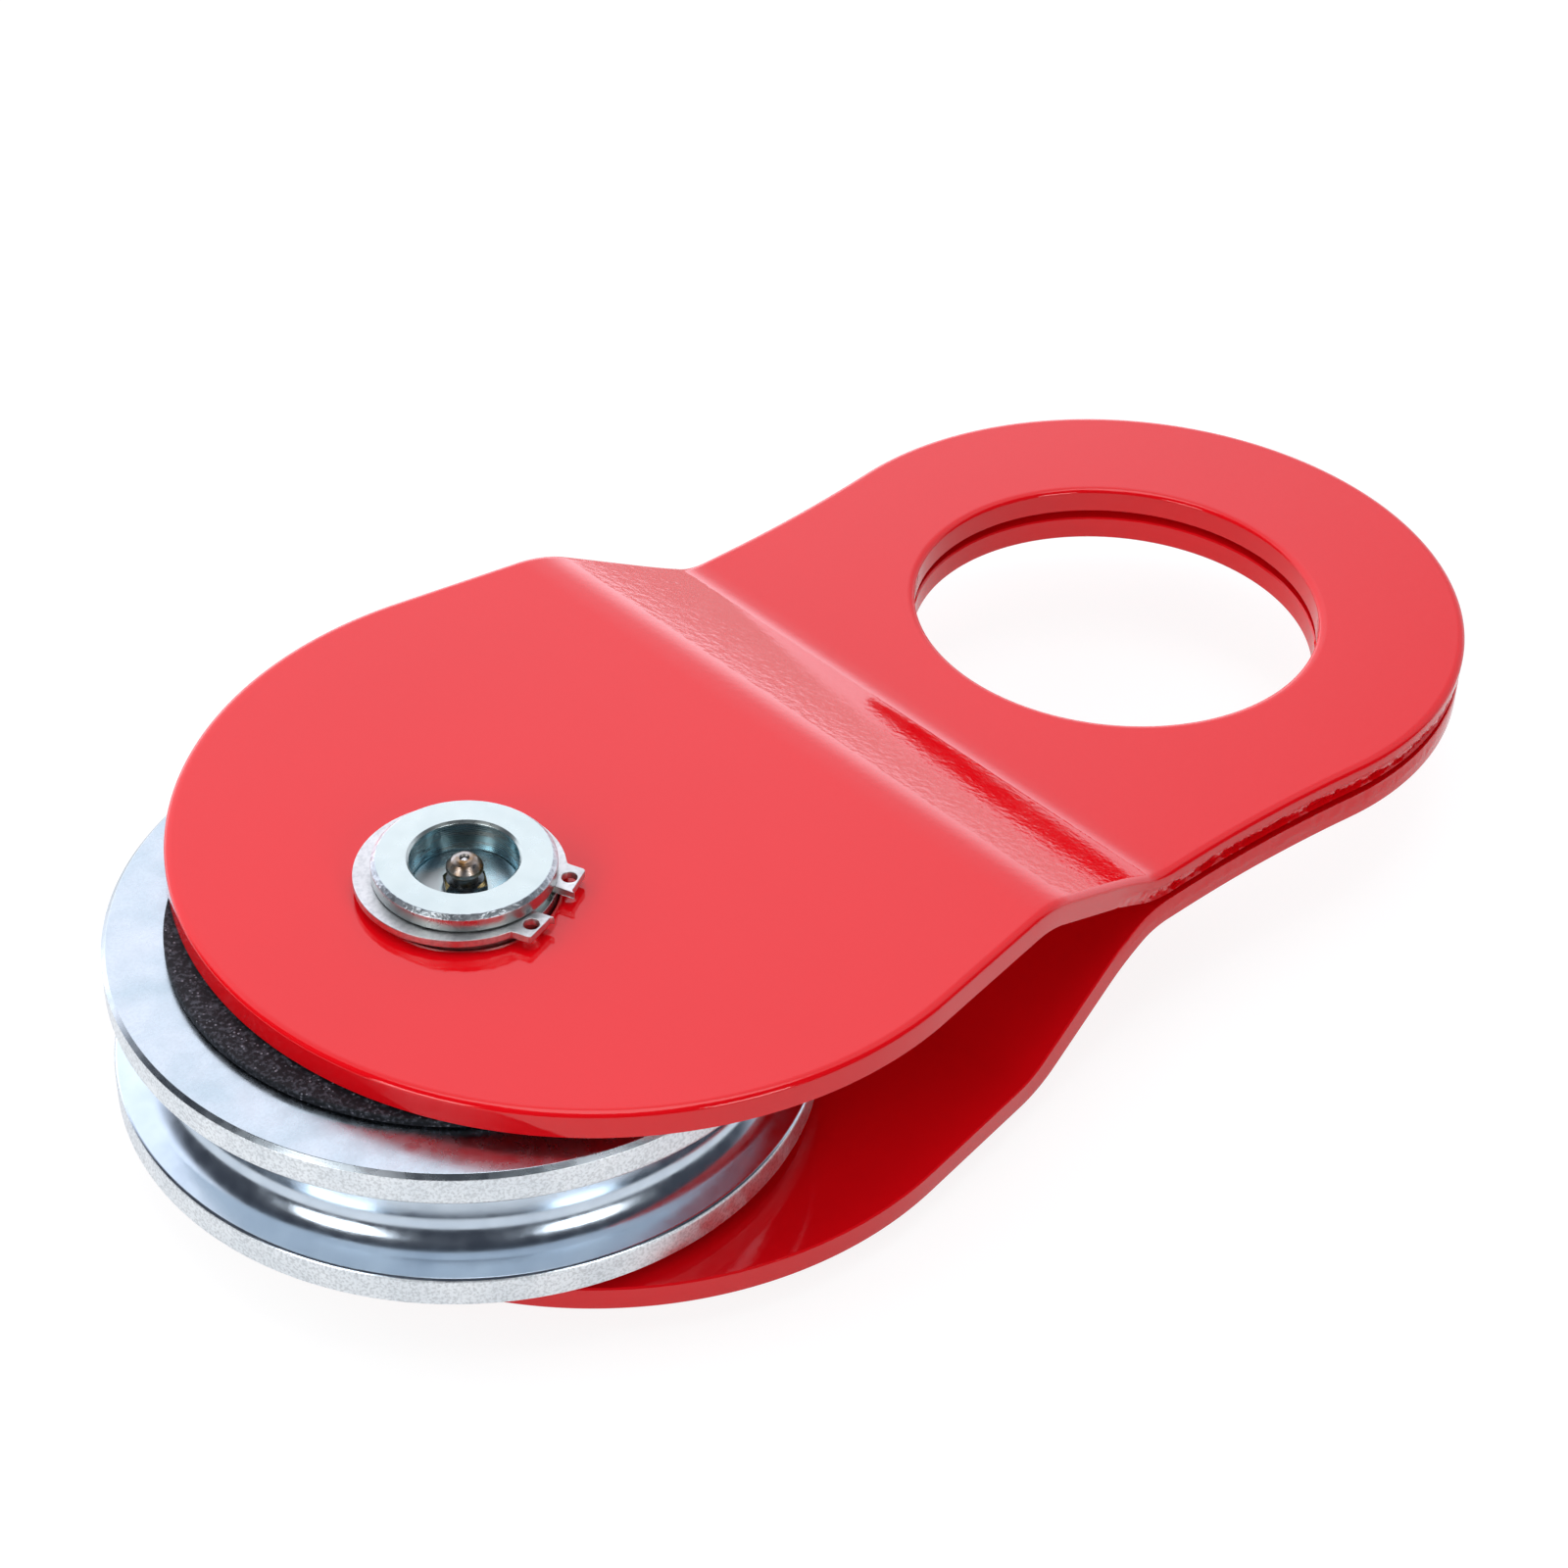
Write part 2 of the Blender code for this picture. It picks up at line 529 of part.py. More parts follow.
def grease_nipple_mesh(material):
    """Loft the nipple through round and hexagonal rings that share their corners' bearings."""
    bm = bmesh.new()
    sixth = math.tau / 6
    rings = []
    for radius, flats, height in nipple_sections():
        ring = []
        for step in range(SMALL_TURNED_STEPS):
            bearing = math.tau * step / SMALL_TURNED_STEPS
            reach = radius or flats / 2 / math.cos(bearing % sixth - sixth / 2)
            ring.append(bm.verts.new((reach * math.cos(bearing), reach * math.sin(bearing), height)))
        rings.append(ring)
    for below, above in zip(rings, rings[1:] + rings[:1]):
        for i in range(SMALL_TURNED_STEPS):
            bm.faces.new((below[i - 1], below[i], above[i], above[i - 1]))
    return finish_mesh("grease_nipple", bm, material)


def valve_ball_mesh(material):
    """Return the nipple's valve ball."""
    bm = bmesh.new()
    bmesh.ops.create_icosphere(bm, subdivisions=3, radius=BALL_DIAMETER / 2)
    return finish_mesh("valve_ball", bm, material)


def valve_spring_curve(material):
    """Coil the spring between the nipple's lower lip and its ball, standing on height 0."""
    foot = NIPPLE_LIP_THICKNESS - NIPPLE_SHANK_LENGTH
    length = BALL_RISE - BALL_DIAMETER / 2 - foot - 2 * VALVE_GAP - SPRING_WIRE_DIAMETER
    reach = NIPPLE_BORE_RADIUS - SPRING_SIDE_GAP - SPRING_WIRE_DIAMETER / 2
    curve = bpy.data.curves.new("valve_spring", "CURVE")
    curve.dimensions = "3D"
    curve.bevel_depth = SPRING_WIRE_DIAMETER / 2
    curve.bevel_resolution = 0
    curve.use_fill_caps = True
    coil = curve.splines.new("POLY")
    count = SPRING_TURNS * SPRING_STEPS_PER_TURN
    coil.points.add(count)
    for step, point in enumerate(coil.points):
        bearing = math.tau * step / SPRING_STEPS_PER_TURN
        rise = SPRING_WIRE_DIAMETER / 2 + length * step / count
        point.co = (reach * math.cos(bearing), reach * math.sin(bearing), rise, 1.0)
    curve.materials.append(material)
    return curve


def main():
    """Build the snatch block."""
    for old in list(bpy.data.objects):
        bpy.data.objects.remove(old)

    red_paint = make_material("red_powder_coat", (0.72, 0.018, 0.027), 0.28, 0.0)
    zinc = make_material("bright_zinc", (0.80, 0.84, 0.88), 0.28, 1.0)
    ring_steel = make_material("plated_ring_steel", (0.72, 0.71, 0.72), 0.42, 1.0)
    black_grit = make_material("black_friction_coat", (0.018, 0.020, 0.026), 0.75, 0.0)
    bronze = make_material("bush_bronze", (0.55, 0.33, 0.14), 0.35, 1.0)
    yellow_zinc = make_material("yellow_zinc", (0.62, 0.47, 0.20), 0.30, 1.0)
    bright_steel = make_material("bright_steel", (0.68, 0.67, 0.66), 0.18, 1.0)

    plate = side_plate_mesh(red_paint)
    lower_plate = add_piece("lower_side_plate", plate, MIDDLE_Z)
    lower_plate.rotation_euler.x = math.pi
    add_piece("upper_side_plate", plate, MIDDLE_Z)

    pin = add_piece("axle_pin", axle_pin_mesh(zinc), 0.0)
    drill_cross_bore(pin, zinc)
    ring = snap_ring_mesh(ring_steel)
    add_piece("lower_snap_ring", ring, LOWER_RING_Z, pin).rotation_euler.z = LOWER_RING_TURN
    add_piece("upper_snap_ring", ring, UPPER_RING_Z, pin).rotation_euler.z = UPPER_RING_TURN

    sheave = add_piece("sheave", sheave_mesh(zinc), MIDDLE_Z)
    bush = collar_mesh("sheave_bush", BUSH_INNER_RADIUS, BUSH_OUTER_RADIUS, SHEAVE_WIDTH,
                       BUSH_EDGE_CHAMFER, PIN_STEPS, bronze)
    add_piece("sheave_bush", bush, SHEAVE_Z, sheave)
    washer = collar_mesh("thrust_washer", PLATE_HOLE_RADIUS, WASHER_DIAMETER / 2, WASHER_THICKNESS,
                         WASHER_EDGE_CHAMFER, WASHER_STEPS, black_grit)
    add_piece("lower_thrust_washer", washer, LOWER_WASHER_Z)
    add_piece("upper_thrust_washer", washer, UPPER_WASHER_Z, sheave)

    nipple = add_piece("grease_nipple", grease_nipple_mesh(yellow_zinc), NIPPLE_SEAT_Z, pin)
    add_piece("nipple_ball", valve_ball_mesh(bright_steel), NIPPLE_SEAT_Z + BALL_RISE)
    spring_z = NIPPLE_SEAT_Z - NIPPLE_SHANK_LENGTH + NIPPLE_LIP_THICKNESS + VALVE_GAP
    add_piece("nipple_spring", valve_spring_curve(bright_steel), spring_z)


if __name__ == "__main__":
    main()
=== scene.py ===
"""Looks of a snatch block: powder coated side plates, zinc plated sheave and pin, and their studio.

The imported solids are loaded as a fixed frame. Every piece below stands in the place of one of them
with the same main sizes, finer curves and its own finish. All sizes are in metres.
"""

from __future__ import annotations

import logging
import math
from collections.abc import Callable, Sequence
from dataclasses import dataclass, field
from enum import Enum

import bmesh
import bpy
from mathutils import Matrix, Vector, noise


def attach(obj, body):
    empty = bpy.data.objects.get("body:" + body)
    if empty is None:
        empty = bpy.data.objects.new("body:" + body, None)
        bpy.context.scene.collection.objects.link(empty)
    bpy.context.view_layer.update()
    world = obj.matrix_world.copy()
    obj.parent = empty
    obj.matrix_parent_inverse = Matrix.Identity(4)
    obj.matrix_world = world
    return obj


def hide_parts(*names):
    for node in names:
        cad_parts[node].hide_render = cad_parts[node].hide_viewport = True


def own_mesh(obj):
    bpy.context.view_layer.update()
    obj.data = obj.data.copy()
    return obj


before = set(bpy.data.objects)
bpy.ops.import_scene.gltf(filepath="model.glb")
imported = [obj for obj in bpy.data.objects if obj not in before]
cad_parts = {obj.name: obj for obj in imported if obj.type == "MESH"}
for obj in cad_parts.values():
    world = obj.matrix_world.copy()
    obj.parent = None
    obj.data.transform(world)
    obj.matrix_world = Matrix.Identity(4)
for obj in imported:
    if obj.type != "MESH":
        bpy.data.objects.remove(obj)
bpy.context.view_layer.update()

MM = 0.001
MERGE = 0.001 * MM
LOG = logging.getLogger("snatch_block")

Point = tuple[float, float]
Colour = tuple[float, float, float]
Piece = bpy.types.Object
Material = bpy.types.Material
Face = bpy.types.MeshPolygon
Socket = bpy.types.NodeSocket


# Outlines and profiles


def arc(centre: Sequence[float], radius: float, start: float, end: float, steps: int) -> list[Point]:
    """Return points along an arc, both ends included.

    Args:
        centre: the arc's centre.
        radius: the arc's radius.
        start: bearing of the first point, in radians.
        end: bearing of the last point, in radians.
        steps: number of equal steps.

    Returns:
        steps + 1 points.
    """
    points = []
    for step in range(steps + 1):
        angle = start + (end - start) * step / steps
        points.append((centre[0] + radius * math.cos(angle), centre[1] + radius * math.sin(angle)))
    return points


def rounded(corners: Sequence[Sequence[float]], steps: int, closed: bool = False) -> list[Point]:
    """Round off the corners of an outline.

    Args:
        corners: (x, y) of the sharp corners and (x, y, radius) of the others.
        steps: steps along each rounded corner.
        closed: whether the last corner joins the first.

    Returns:
        The outline's points.
    """
    count = len(corners)
    points: list[Point] = []
    for i, corner in enumerate(corners):
        tip = Vector(corner[:2])
        is_end = not closed and i in (0, count - 1)
        if is_end or len(corner) < 3:
            points.append((tip.x, tip.y))
            continue
        back = (Vector(corners[i - 1][:2]) - tip).normalized()
        ahead = (Vector(corners[(i + 1) % count][:2]) - tip).normalized()
        half = back.angle(ahead) / 2
        centre = tip + (back + ahead).normalized() * (corner[2] / math.sin(half))
        first = tip + back * (corner[2] / math.tan(half)) - centre
        turn = math.copysign(math.pi - 2 * half, first.cross(ahead))
        start = math.atan2(first.y, first.x)
        points += arc(centre, corner[2], start, start + turn, steps)
    return points


def evenly(points: Sequence[Point], spacing: float) -> list[Point]:
    """Divide the long straight runs of a closed outline.

    Args:
        points: the outline's corners.
        spacing: the longest run that stays whole.

    Returns:
        The outline with points added along its long runs.
    """
    divided: list[Point] = []
    for here, there in zip(points, [*points[1:], points[0]]):
        parts = max(1, math.ceil(math.dist(here, there) / spacing))
        for part in range(parts):
            share = part / parts
            divided.append(tuple(a + (b - a) * share for a, b in zip(here, there)))
    return divided


# Modelling steps


def activate(piece: Piece) -> None:
    """Make one object the selected and active one."""
    bpy.ops.object.select_all(action="DESELECT")
    piece.select_set(True)
    bpy.context.view_layer.objects.active = piece


def lifted(height: float) -> Matrix:
    """Return a move up the pin axis."""
    return Matrix.Translation((0.0, 0.0, height))


def add_loop(points: Sequence[Sequence[float]]) -> Piece:
    """Add a ring of edges, as a new piece or to the one in edit mode.

    Args:
        points: (x, y, z) of each corner.

    Returns:
        The piece, in edit mode.
    """
    bpy.ops.mesh.primitive_circle_add(vertices=len(points), radius=1.0)
    piece = bpy.context.object
    bpy.ops.object.mode_set(mode="EDIT")
    mesh = bmesh.from_edit_mesh(piece.data)
    mesh.verts.ensure_lookup_table()
    for vert, point in zip(list(mesh.verts)[-len(points):], points):
        vert.co = point
    bmesh.update_edit_mesh(piece.data)
    return piece


def turned(name: str, profile: Sequence[Point], steps: int, closed: bool = True) -> Piece:
    """Turn a (radius, height) profile round the pin axis.

    Args:
        name: the new piece's name.
        profile: its points; one that isn't closed starts and ends on the axis.
        steps: steps of the full turn.
        closed: whether the last point joins the first.

    Returns:
        The piece, as one closed body.
    """
    piece = add_loop([(radius, 0.0, height) for radius, height in profile])
    piece.name = piece.data.name = name
    if not closed:
        bpy.ops.mesh.select_all(action="DESELECT")
        mesh = bmesh.from_edit_mesh(piece.data)
        for edge in mesh.edges:
            edge.select_set(all(vert.co.x < MERGE for vert in edge.verts))
        bmesh.update_edit_mesh(piece.data)
        bpy.ops.mesh.delete(type="EDGE_FACE")
    bpy.ops.mesh.select_all(action="SELECT")
    bpy.ops.mesh.spin(steps=steps, angle=math.tau, center=(0.0, 0.0, 0.0), axis=(0.0, 0.0, 1.0))
    bpy.ops.mesh.select_all(action="SELECT")
    bpy.ops.mesh.remove_doubles(threshold=MERGE)
    bpy.ops.mesh.normals_make_consistent(inside=False)
    bpy.ops.object.mode_set(mode="OBJECT")
    return piece


def stamped(
    name: str,
    outline: Sequence[Point],
    holes: Sequence[Sequence[Point]],
    walls: Sequence[float],
    upper_edge: Sequence[Point],
    lower_edge: Sequence[Point],
) -> Piece:
    """Stamp a flat piece out of sheet, with its edges broken.

    Args:
        name: the new piece's name.
        outline: its outer outline.
        holes: the outlines of its holes.
        walls: the heights of the rows of its upright wall, the lowest first.
        upper_edge: (inset, rise) steps from the wall to the upper face.
        lower_edge: (inset, rise) steps from the wall to the lower face.

    Returns:
        The piece, lying on height 0.
    """
    for loop in (outline, *holes):
        piece = add_loop([(x, y, walls[0]) for x, y in loop])
    piece.name = piece.data.name = name
    bpy.ops.mesh.select_all(action="SELECT")
    bpy.ops.mesh.fill(use_beauty=True)
    bpy.ops.mesh.select_mode(type="FACE")
    bpy.ops.mesh.select_all(action="SELECT")
    for below, above in zip(walls, walls[1:]):
        bpy.ops.mesh.extrude_region_move(TRANSFORM_OT_translate={"value": (0.0, 0.0, above - below)})
    bpy.ops.mesh.select_all(action="SELECT")
    bpy.ops.mesh.normals_make_consistent(inside=False)
    for steps, way, level in ((upper_edge, 1.0, walls[-1]), (lower_edge, -1.0, walls[0])):
        bpy.ops.mesh.select_all(action="DESELECT")
        mesh = bmesh.from_edit_mesh(piece.data)
        for face in mesh.faces:
            is_last = (face.calc_center_median().z - level) * way > -MERGE
            face.select_set(is_last and face.normal.z * way > 0.9)
        bmesh.update_edit_mesh(piece.data)
        for inset, rise in steps:
            bpy.ops.mesh.inset(thickness=inset, depth=rise, use_even_offset=True)
    bpy.ops.object.mode_set(mode="OBJECT")
    return piece


def rolled_edge(inset: float, rise: float, steps: int) -> list[Point]:
    """Return the (inset, rise) steps of a quarter round or oval edge."""
    points = arc((1.0, 0.0), 1.0, math.pi, math.pi / 2, steps)
    return [(inset * (b[0] - a[0]), rise * (b[1] - a[1])) for a, b in zip(points, points[1:])]


class Joining(Enum):
    """The ways to join two bodies."""

    UNION = "UNION"
    INTERSECT = "INTERSECT"


def combine(piece: Piece, other: Piece, joining: Joining) -> None:
    """Join a piece with another one.

    Args:
        piece: the piece that stays.
        other: the piece that is used up.
        joining: the way they are joined.
    """
    activate(piece)
    change = piece.modifiers.new("joining", "BOOLEAN")
    change.operation = joining.value
    change.solver = "EXACT"
    change.object = other
    bpy.ops.object.modifier_apply(modifier=change.name)
    bpy.data.objects.remove(other)


def smooth(piece: Piece, sharp_angle: float) -> None:
    """Shade a piece smooth, with its hard edges kept and its flats kept flat.

    Args:
        piece: the piece.
        sharp_angle: edges that turn by more than this many degrees stay hard.
    """
    activate(piece)
    bpy.ops.object.shade_smooth_by_angle(angle=math.radians(sharp_angle))
    weigh = piece.modifiers.new("flat_faces", "WEIGHTED_NORMAL")
    weigh.mode = "FACE_AREA"
    weigh.weight = 80
    weigh.keep_sharp = True
    bpy.ops.object.modifier_apply(modifier=weigh.name)


def added(name: str, data: bpy.types.ID) -> Piece:
    """Add an object with this data to the scene."""
    piece = bpy.data.objects.new(name, data)
    bpy.context.collection.objects.link(piece)
    return piece


def copy_of(piece: Piece, name: str, placing: Matrix) -> Piece:
    """Copy a piece with its own mesh to another place.

    Args:
        piece: the piece to copy.
        name: the copy's name.
        placing: the move, which goes into the copy's mesh.

    Returns:
        The copy.
    """
    mesh = piece.data.copy()
    mesh.name = name
    mesh.transform(placing)
    return added(name, mesh)


def stand_for(
    piece: Piece,
    node: str,
    body: str,
    finishes: Sequence[Material],
    zone: Callable[[Face], int] = lambda face: 0,
) -> None:
    """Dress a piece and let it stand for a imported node.

    Args:
        piece: the piece.
        node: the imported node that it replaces.
        body: the body that it rides with.
        finishes: its materials.
        zone: tells which of them a face gets; all get the first without it.
    """
    piece.data.materials.clear()
    for material in finishes:
        piece.data.materials.append(material)
    for face in piece.data.polygons:
        face.material_index = zone(face)
    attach(piece, body)
    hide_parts(node)


# Finishes


class Graph:
    """The nodes of a material or of the room's light, and the steps they share."""

    def __init__(self, owner: Material | bpy.types.World, coordinates: str = "Object") -> None:
        """Start the nodes, with patterns that lie on these coordinates."""
        owner.use_nodes = True
        self.owner = owner
        self.tree = owner.node_tree
        self.shader = self.tree.nodes.get("Principled BSDF")
        self.place = self.tree.nodes.new("ShaderNodeTexCoord").outputs[coordinates]

    def put(self, socket: Socket, value: Socket | float | Sequence[float]) -> None:
        """Link a socket, or set its plain value."""
        if isinstance(value, Socket):
            self.tree.links.new(value, socket)
        elif isinstance(value, (int, float)):
            socket.default_value = value
        else:
            socket.default_value = (*value, 1.0)[: len(socket.default_value)]

    def set(self, **values: Socket | float | Sequence[float]) -> None:
        """Set sockets of the shader, named with underscores for their spaces."""
        for name, value in values.items():
            label = name.replace("_", " ").title().replace("Ior", "IOR")
            self.put(self.shader.inputs[label], value)

    def node(self, kind: str, output: str | int, inputs: dict, **settings: str) -> Socket:
        """Add a node with these inputs and settings, and return one of its outputs."""
        node = self.tree.nodes.new(f"ShaderNode{kind}")
        for name, value in settings.items():
            setattr(node, name, value)
        for label, value in inputs.items():
            self.put(node.inputs[label], value)
        return node.outputs[output]

    def math(self, operation: str, *values: Socket | float | Sequence[float], kind: str = "") -> Socket:
        """Return the result of a calculation, which takes vectors where its kind is Vector."""
        output = 1 if operation == "DOT_PRODUCT" else 0
        return self.node(f"{kind}Math", output, dict(enumerate(values)), operation=operation)

    def stretch(self, scale: Sequence[float]) -> Socket:
        """Return the place, scaled along the axes."""
        return self.node("Mapping", 0, {"Vector": self.place, "Scale": scale})

    def noise(self, size: float, detail: float = 2.0, place: Socket | None = None) -> Socket:
        """Return noise from 0 to 1 whose blotches are about this many metres wide."""
        inputs = {"Vector": place or self.place, "Scale": 1.0 / size, "Detail": detail}
        return self.node("TexNoise", "Fac", inputs)

    def cells(self, size: float, output: str) -> Socket:
        """Return a cell pattern's output, with cells of about this many metres."""
        return self.node("TexVoronoi", output, {"Vector": self.place, "Scale": 1.0 / size})

    def ramp(self, factor: Socket, *stops: tuple[float, float]) -> Socket:
        """Return a value that runs between (position, value) stops."""
        node = self.tree.nodes.new("ShaderNodeValToRGB")
        self.put(node.inputs["Fac"], factor)
        elements = node.color_ramp.elements
        while len(elements) < len(stops):
            elements.new(1.0)
        for element, (position, value) in zip(elements, stops):
            element.position = position
            element.color = (value, value, value, 1.0)
        return node.outputs["Color"]

    def blend(self, factor: Socket, first: Socket | Colour, second: Socket | Colour) -> Socket:
        """Return a colour between two."""
        return self.node("Mix", 2, {"Factor": factor, 6: first, 7: second}, data_type="RGBA")

    def bump(self, height: Socket, distance: float, under: Socket | None = None) -> Socket:
        """Return a normal for a height pattern of this many metres."""
        inputs = {"Strength": 1.0, "Distance": distance, "Height": height}
        return self.node("Bump", "Normal", inputs | ({"Normal": under} if under else {}))

    def uneven(self, pattern: Socket, value: float, most: float, end: float = 0.7) -> Socket:
        """Return a value that a pattern varies, from 0.8 times to this many times."""
        return self.ramp(pattern, (0.3, value * 0.8), (end, value * most))

    def axes(self) -> Sequence[Socket]:
        """Return the place's X, Y and Z; Z is the height above the pin's lower end."""
        split = self.tree.nodes.new("ShaderNodeSeparateXYZ")
        self.put(split.inputs[0], self.place)
        return split.outputs[:]

    def radius(self) -> Socket:
        """Return the distance from the pin axis."""
        squares = [self.math("POWER", side, 2.0) for side in self.axes()[:2]]
        return self.math("SQRT", self.math("ADD", *squares))

    def marks(self, along: Socket, pitch: float, blotch: float, sway: float) -> Socket:
        """Return tool marks of this pitch, from -1 to 1, that sway over blotches of this size."""
        wobble = self.math("MULTIPLY", self.noise(blotch), sway)
        phase = self.math("DIVIDE", along, pitch / math.tau)
        return self.math("SINE", self.math("ADD", phase, wobble))

    def fade(self, value: Socket, start: float, end: float) -> Socket:
        """Return a soft step from 0 to 1."""
        inputs = {"Value": value, "From Min": start, "From Max": end}
        return self.node("MapRange", "Result", inputs, interpolation_type="SMOOTHSTEP")

    def attribute(self, name: str) -> Socket:
        """Return a value stored on the mesh."""
        return self.node("Attribute", "Fac", {}, attribute_name=name)


class Finish:
    """A finish, which each kind lays on a new material's nodes in its own way."""

    def material(self, name: str) -> Material:
        """Return the finish as a material."""
        graph = Graph(bpy.data.materials.new(name))
        self.lay(graph)
        return graph.owner


@dataclass(frozen=True)
class PowderCoat(Finish):
    """Glossy powder coat with a slight flow texture, thin over the sheared edge."""

    colour: Colour = (0.79, 0.003, 0.008)
    deep: Colour = (0.75, 0.002, 0.006)
    speck: Colour = (0.30, 0.004, 0.008)
    speck_pitch: float = 24.0 * MM
    roughness: float = 0.055
    flow_size: float = 1.8 * MM
    flow_depth: float = 0.020 * MM
    shear_depth: float = 0.45 * MM

    def lay(self, graph: Graph) -> None:
        """Lay clouds, specks, flow and the torn edge."""
        clouds = graph.noise(45.0 * MM)
        colour = graph.blend(clouds, self.colour, self.deep)
        specks = graph.math("LESS_THAN", graph.cells(self.speck_pitch, "Distance"), 0.008)
        flow = graph.bump(graph.noise(self.flow_size), self.flow_depth)
        fine = graph.bump(graph.noise(0.7 * MM), self.flow_depth * 0.12, flow)
        torn = graph.math("MULTIPLY", graph.noise(0.9 * MM, 3.0), graph.attribute("shear"))
        graph.set(
            base_color=graph.blend(specks, colour, self.speck),
            roughness=graph.uneven(graph.noise(6.0 * MM, 3.0), self.roughness, 1.3),
            ior=1.5,
            normal=graph.bump(torn, self.shear_depth, fine),
        )


@dataclass(frozen=True)
class Zinc(Finish):
    """Bright zinc plating over turned or rough steel."""

    colour: Colour = (0.55, 0.62, 0.66)
    cloudy: Colour = (0.47, 0.55, 0.60)
    roughness: float = 0.22
    turning_pitch: float = 0.45 * MM
    turning_depth: float = 0.0
    grain_size: float = 0.5 * MM
    grain_depth: float = 0.0
    grain_shade: float = 0.0
    # Colour of the painted shade in the grain's low spots.
    pit_shade: Colour = (0.25, 0.27, 0.29)

    def lay(self, graph: Graph) -> None:
        """Lay clouds, painted shade in the grain's low spots, and grain and turning marks where they
        are wanted.
        """
        clouds = graph.ramp(graph.noise(9.0 * MM, 4.0), (0.35, 0.0), (0.7, 1.0))
        colour = graph.blend(clouds, self.colour, self.cloudy)
        rough = graph.uneven(graph.noise(3.0 * MM, 4.0), self.roughness, 1.3, 0.75)
        normal = graph.bump(graph.noise(1.1 * MM), 0.0015 * MM)
        # Painted shade: where the grain noise is low, which is where the grain bump sinks, the colour
        # darkens towards the pit shade colour.
        if self.grain_shade:
            pit_shade_mask = graph.ramp(graph.noise(self.grain_size, 3.0), (0.38, self.grain_shade), (0.56, 0.0))
            colour = graph.blend(pit_shade_mask, colour, self.pit_shade)
        if self.grain_depth:
            normal = graph.bump(graph.noise(self.grain_size, 3.0), self.grain_depth, normal)
        if self.turning_depth:
            marks = graph.marks(graph.radius(), self.turning_pitch, 2.0 * MM, 3.0)
            normal = graph.bump(marks, self.turning_depth, normal)
        graph.set(base_color=colour, metallic=1.0, roughness=rough, normal=normal)


@dataclass(frozen=True)
class BoreZinc(Finish):
    """Zinc on a bored wall, with the tool's rings round it and a bluish cast."""

    colour: Colour = (0.42, 0.64, 0.72)
    bare: Colour = (0.50, 0.52, 0.51)
    roughness: float = 0.22
    ring_pitch: float = 0.45 * MM
    ring_depth: float = 0.006 * MM

    def lay(self, graph: Graph) -> None:
        """Lay bands and the tool's rings."""
        bands = graph.noise(1.0 * MM, 3.0, graph.stretch((0.12, 0.12, 1.0)))
        colour = graph.blend(graph.ramp(bands, (0.4, 0.0), (0.68, 1.0)), self.colour, self.bare)
        marks = graph.marks(graph.axes()[2], self.ring_pitch, 2.5 * MM, 2.0)
        graph.set(
            base_color=colour,
            metallic=1.0,
            roughness=graph.uneven(bands, self.roughness, 1.4),
            normal=graph.bump(marks, self.ring_depth),
        )


@dataclass(frozen=True)
class FrictionBlack(Finish):
    """Dull black, granular coat with bright flecks."""

    colour: Colour = (0.006, 0.007, 0.010)
    pale: Colour = (0.060, 0.064, 0.080)
    fleck: Colour = (0.22, 0.22, 0.26)
    grain_size: float = 0.7 * MM
    grain_depth: float = 0.08 * MM

    def lay(self, graph: Graph) -> None:
        """Lay grain and flecks."""
        grain = graph.noise(self.grain_size, 4.0)
        colour = graph.blend(graph.ramp(grain, (0.48, 0.0), (0.68, 1.0)), self.colour, self.pale)
        lucky = graph.ramp(graph.cells(self.grain_size, "Color"), (0.60, 0.0), (0.90, 1.0))
        small = graph.math("LESS_THAN", graph.cells(self.grain_size, "Distance"), 0.28)
        flecks = graph.math("MULTIPLY", lucky, small)
        colour = graph.blend(flecks, colour, self.fleck)
        graph.set(
            base_color=colour,
            specular_ior_level=0.25,
            roughness=graph.ramp(flecks, (0.0, 0.62), (1.0, 0.45)),
            normal=graph.bump(grain, self.grain_depth),
        )


@dataclass(frozen=True)
class PassivatedSteel(Finish):
    """Turned metal of small pieces, with a tint that runs from one colour to another."""

    colour: Colour
    stain: Colour
    stain_size: float
    roughness: float
    ring_pitch: float = 0.2 * MM
    ring_depth: float = 0.0025 * MM

    def lay(self, graph: Graph) -> None:
        """Lay stains and turning rings."""
        stains = graph.ramp(graph.noise(self.stain_size, 3.0), (0.42, 0.0), (0.62, 1.0))
        rings = graph.math("SINE", graph.math("DIVIDE", graph.axes()[2], self.ring_pitch / math.tau))
        graph.set(
            base_color=graph.blend(stains, self.colour, self.stain),
            metallic=1.0,
            roughness=graph.uneven(graph.noise(0.8 * MM, 3.0), self.roughness, 1.4),
            normal=graph.bump(rings, self.ring_depth),
        )


# The snatch block


class Body(Enum):
    """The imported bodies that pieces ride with."""

    LOWER = "lower_plate_and_pin"
    SHEAVE = "sheave"
    UPPER = "upper_plate"


@dataclass
class Stack:
    """Heights above the pin's lower end, the same as the solids'."""

    middle: float = 28.10 * MM
    lower_ring: float = 3.50 * MM
    lower_washer: float = 11.05 * MM
    upper_washer: float = 43.55 * MM
    upper_plate: float = 45.50 * MM
    upper_ring: float = 52.40 * MM
    pin_length: float = 57.40 * MM


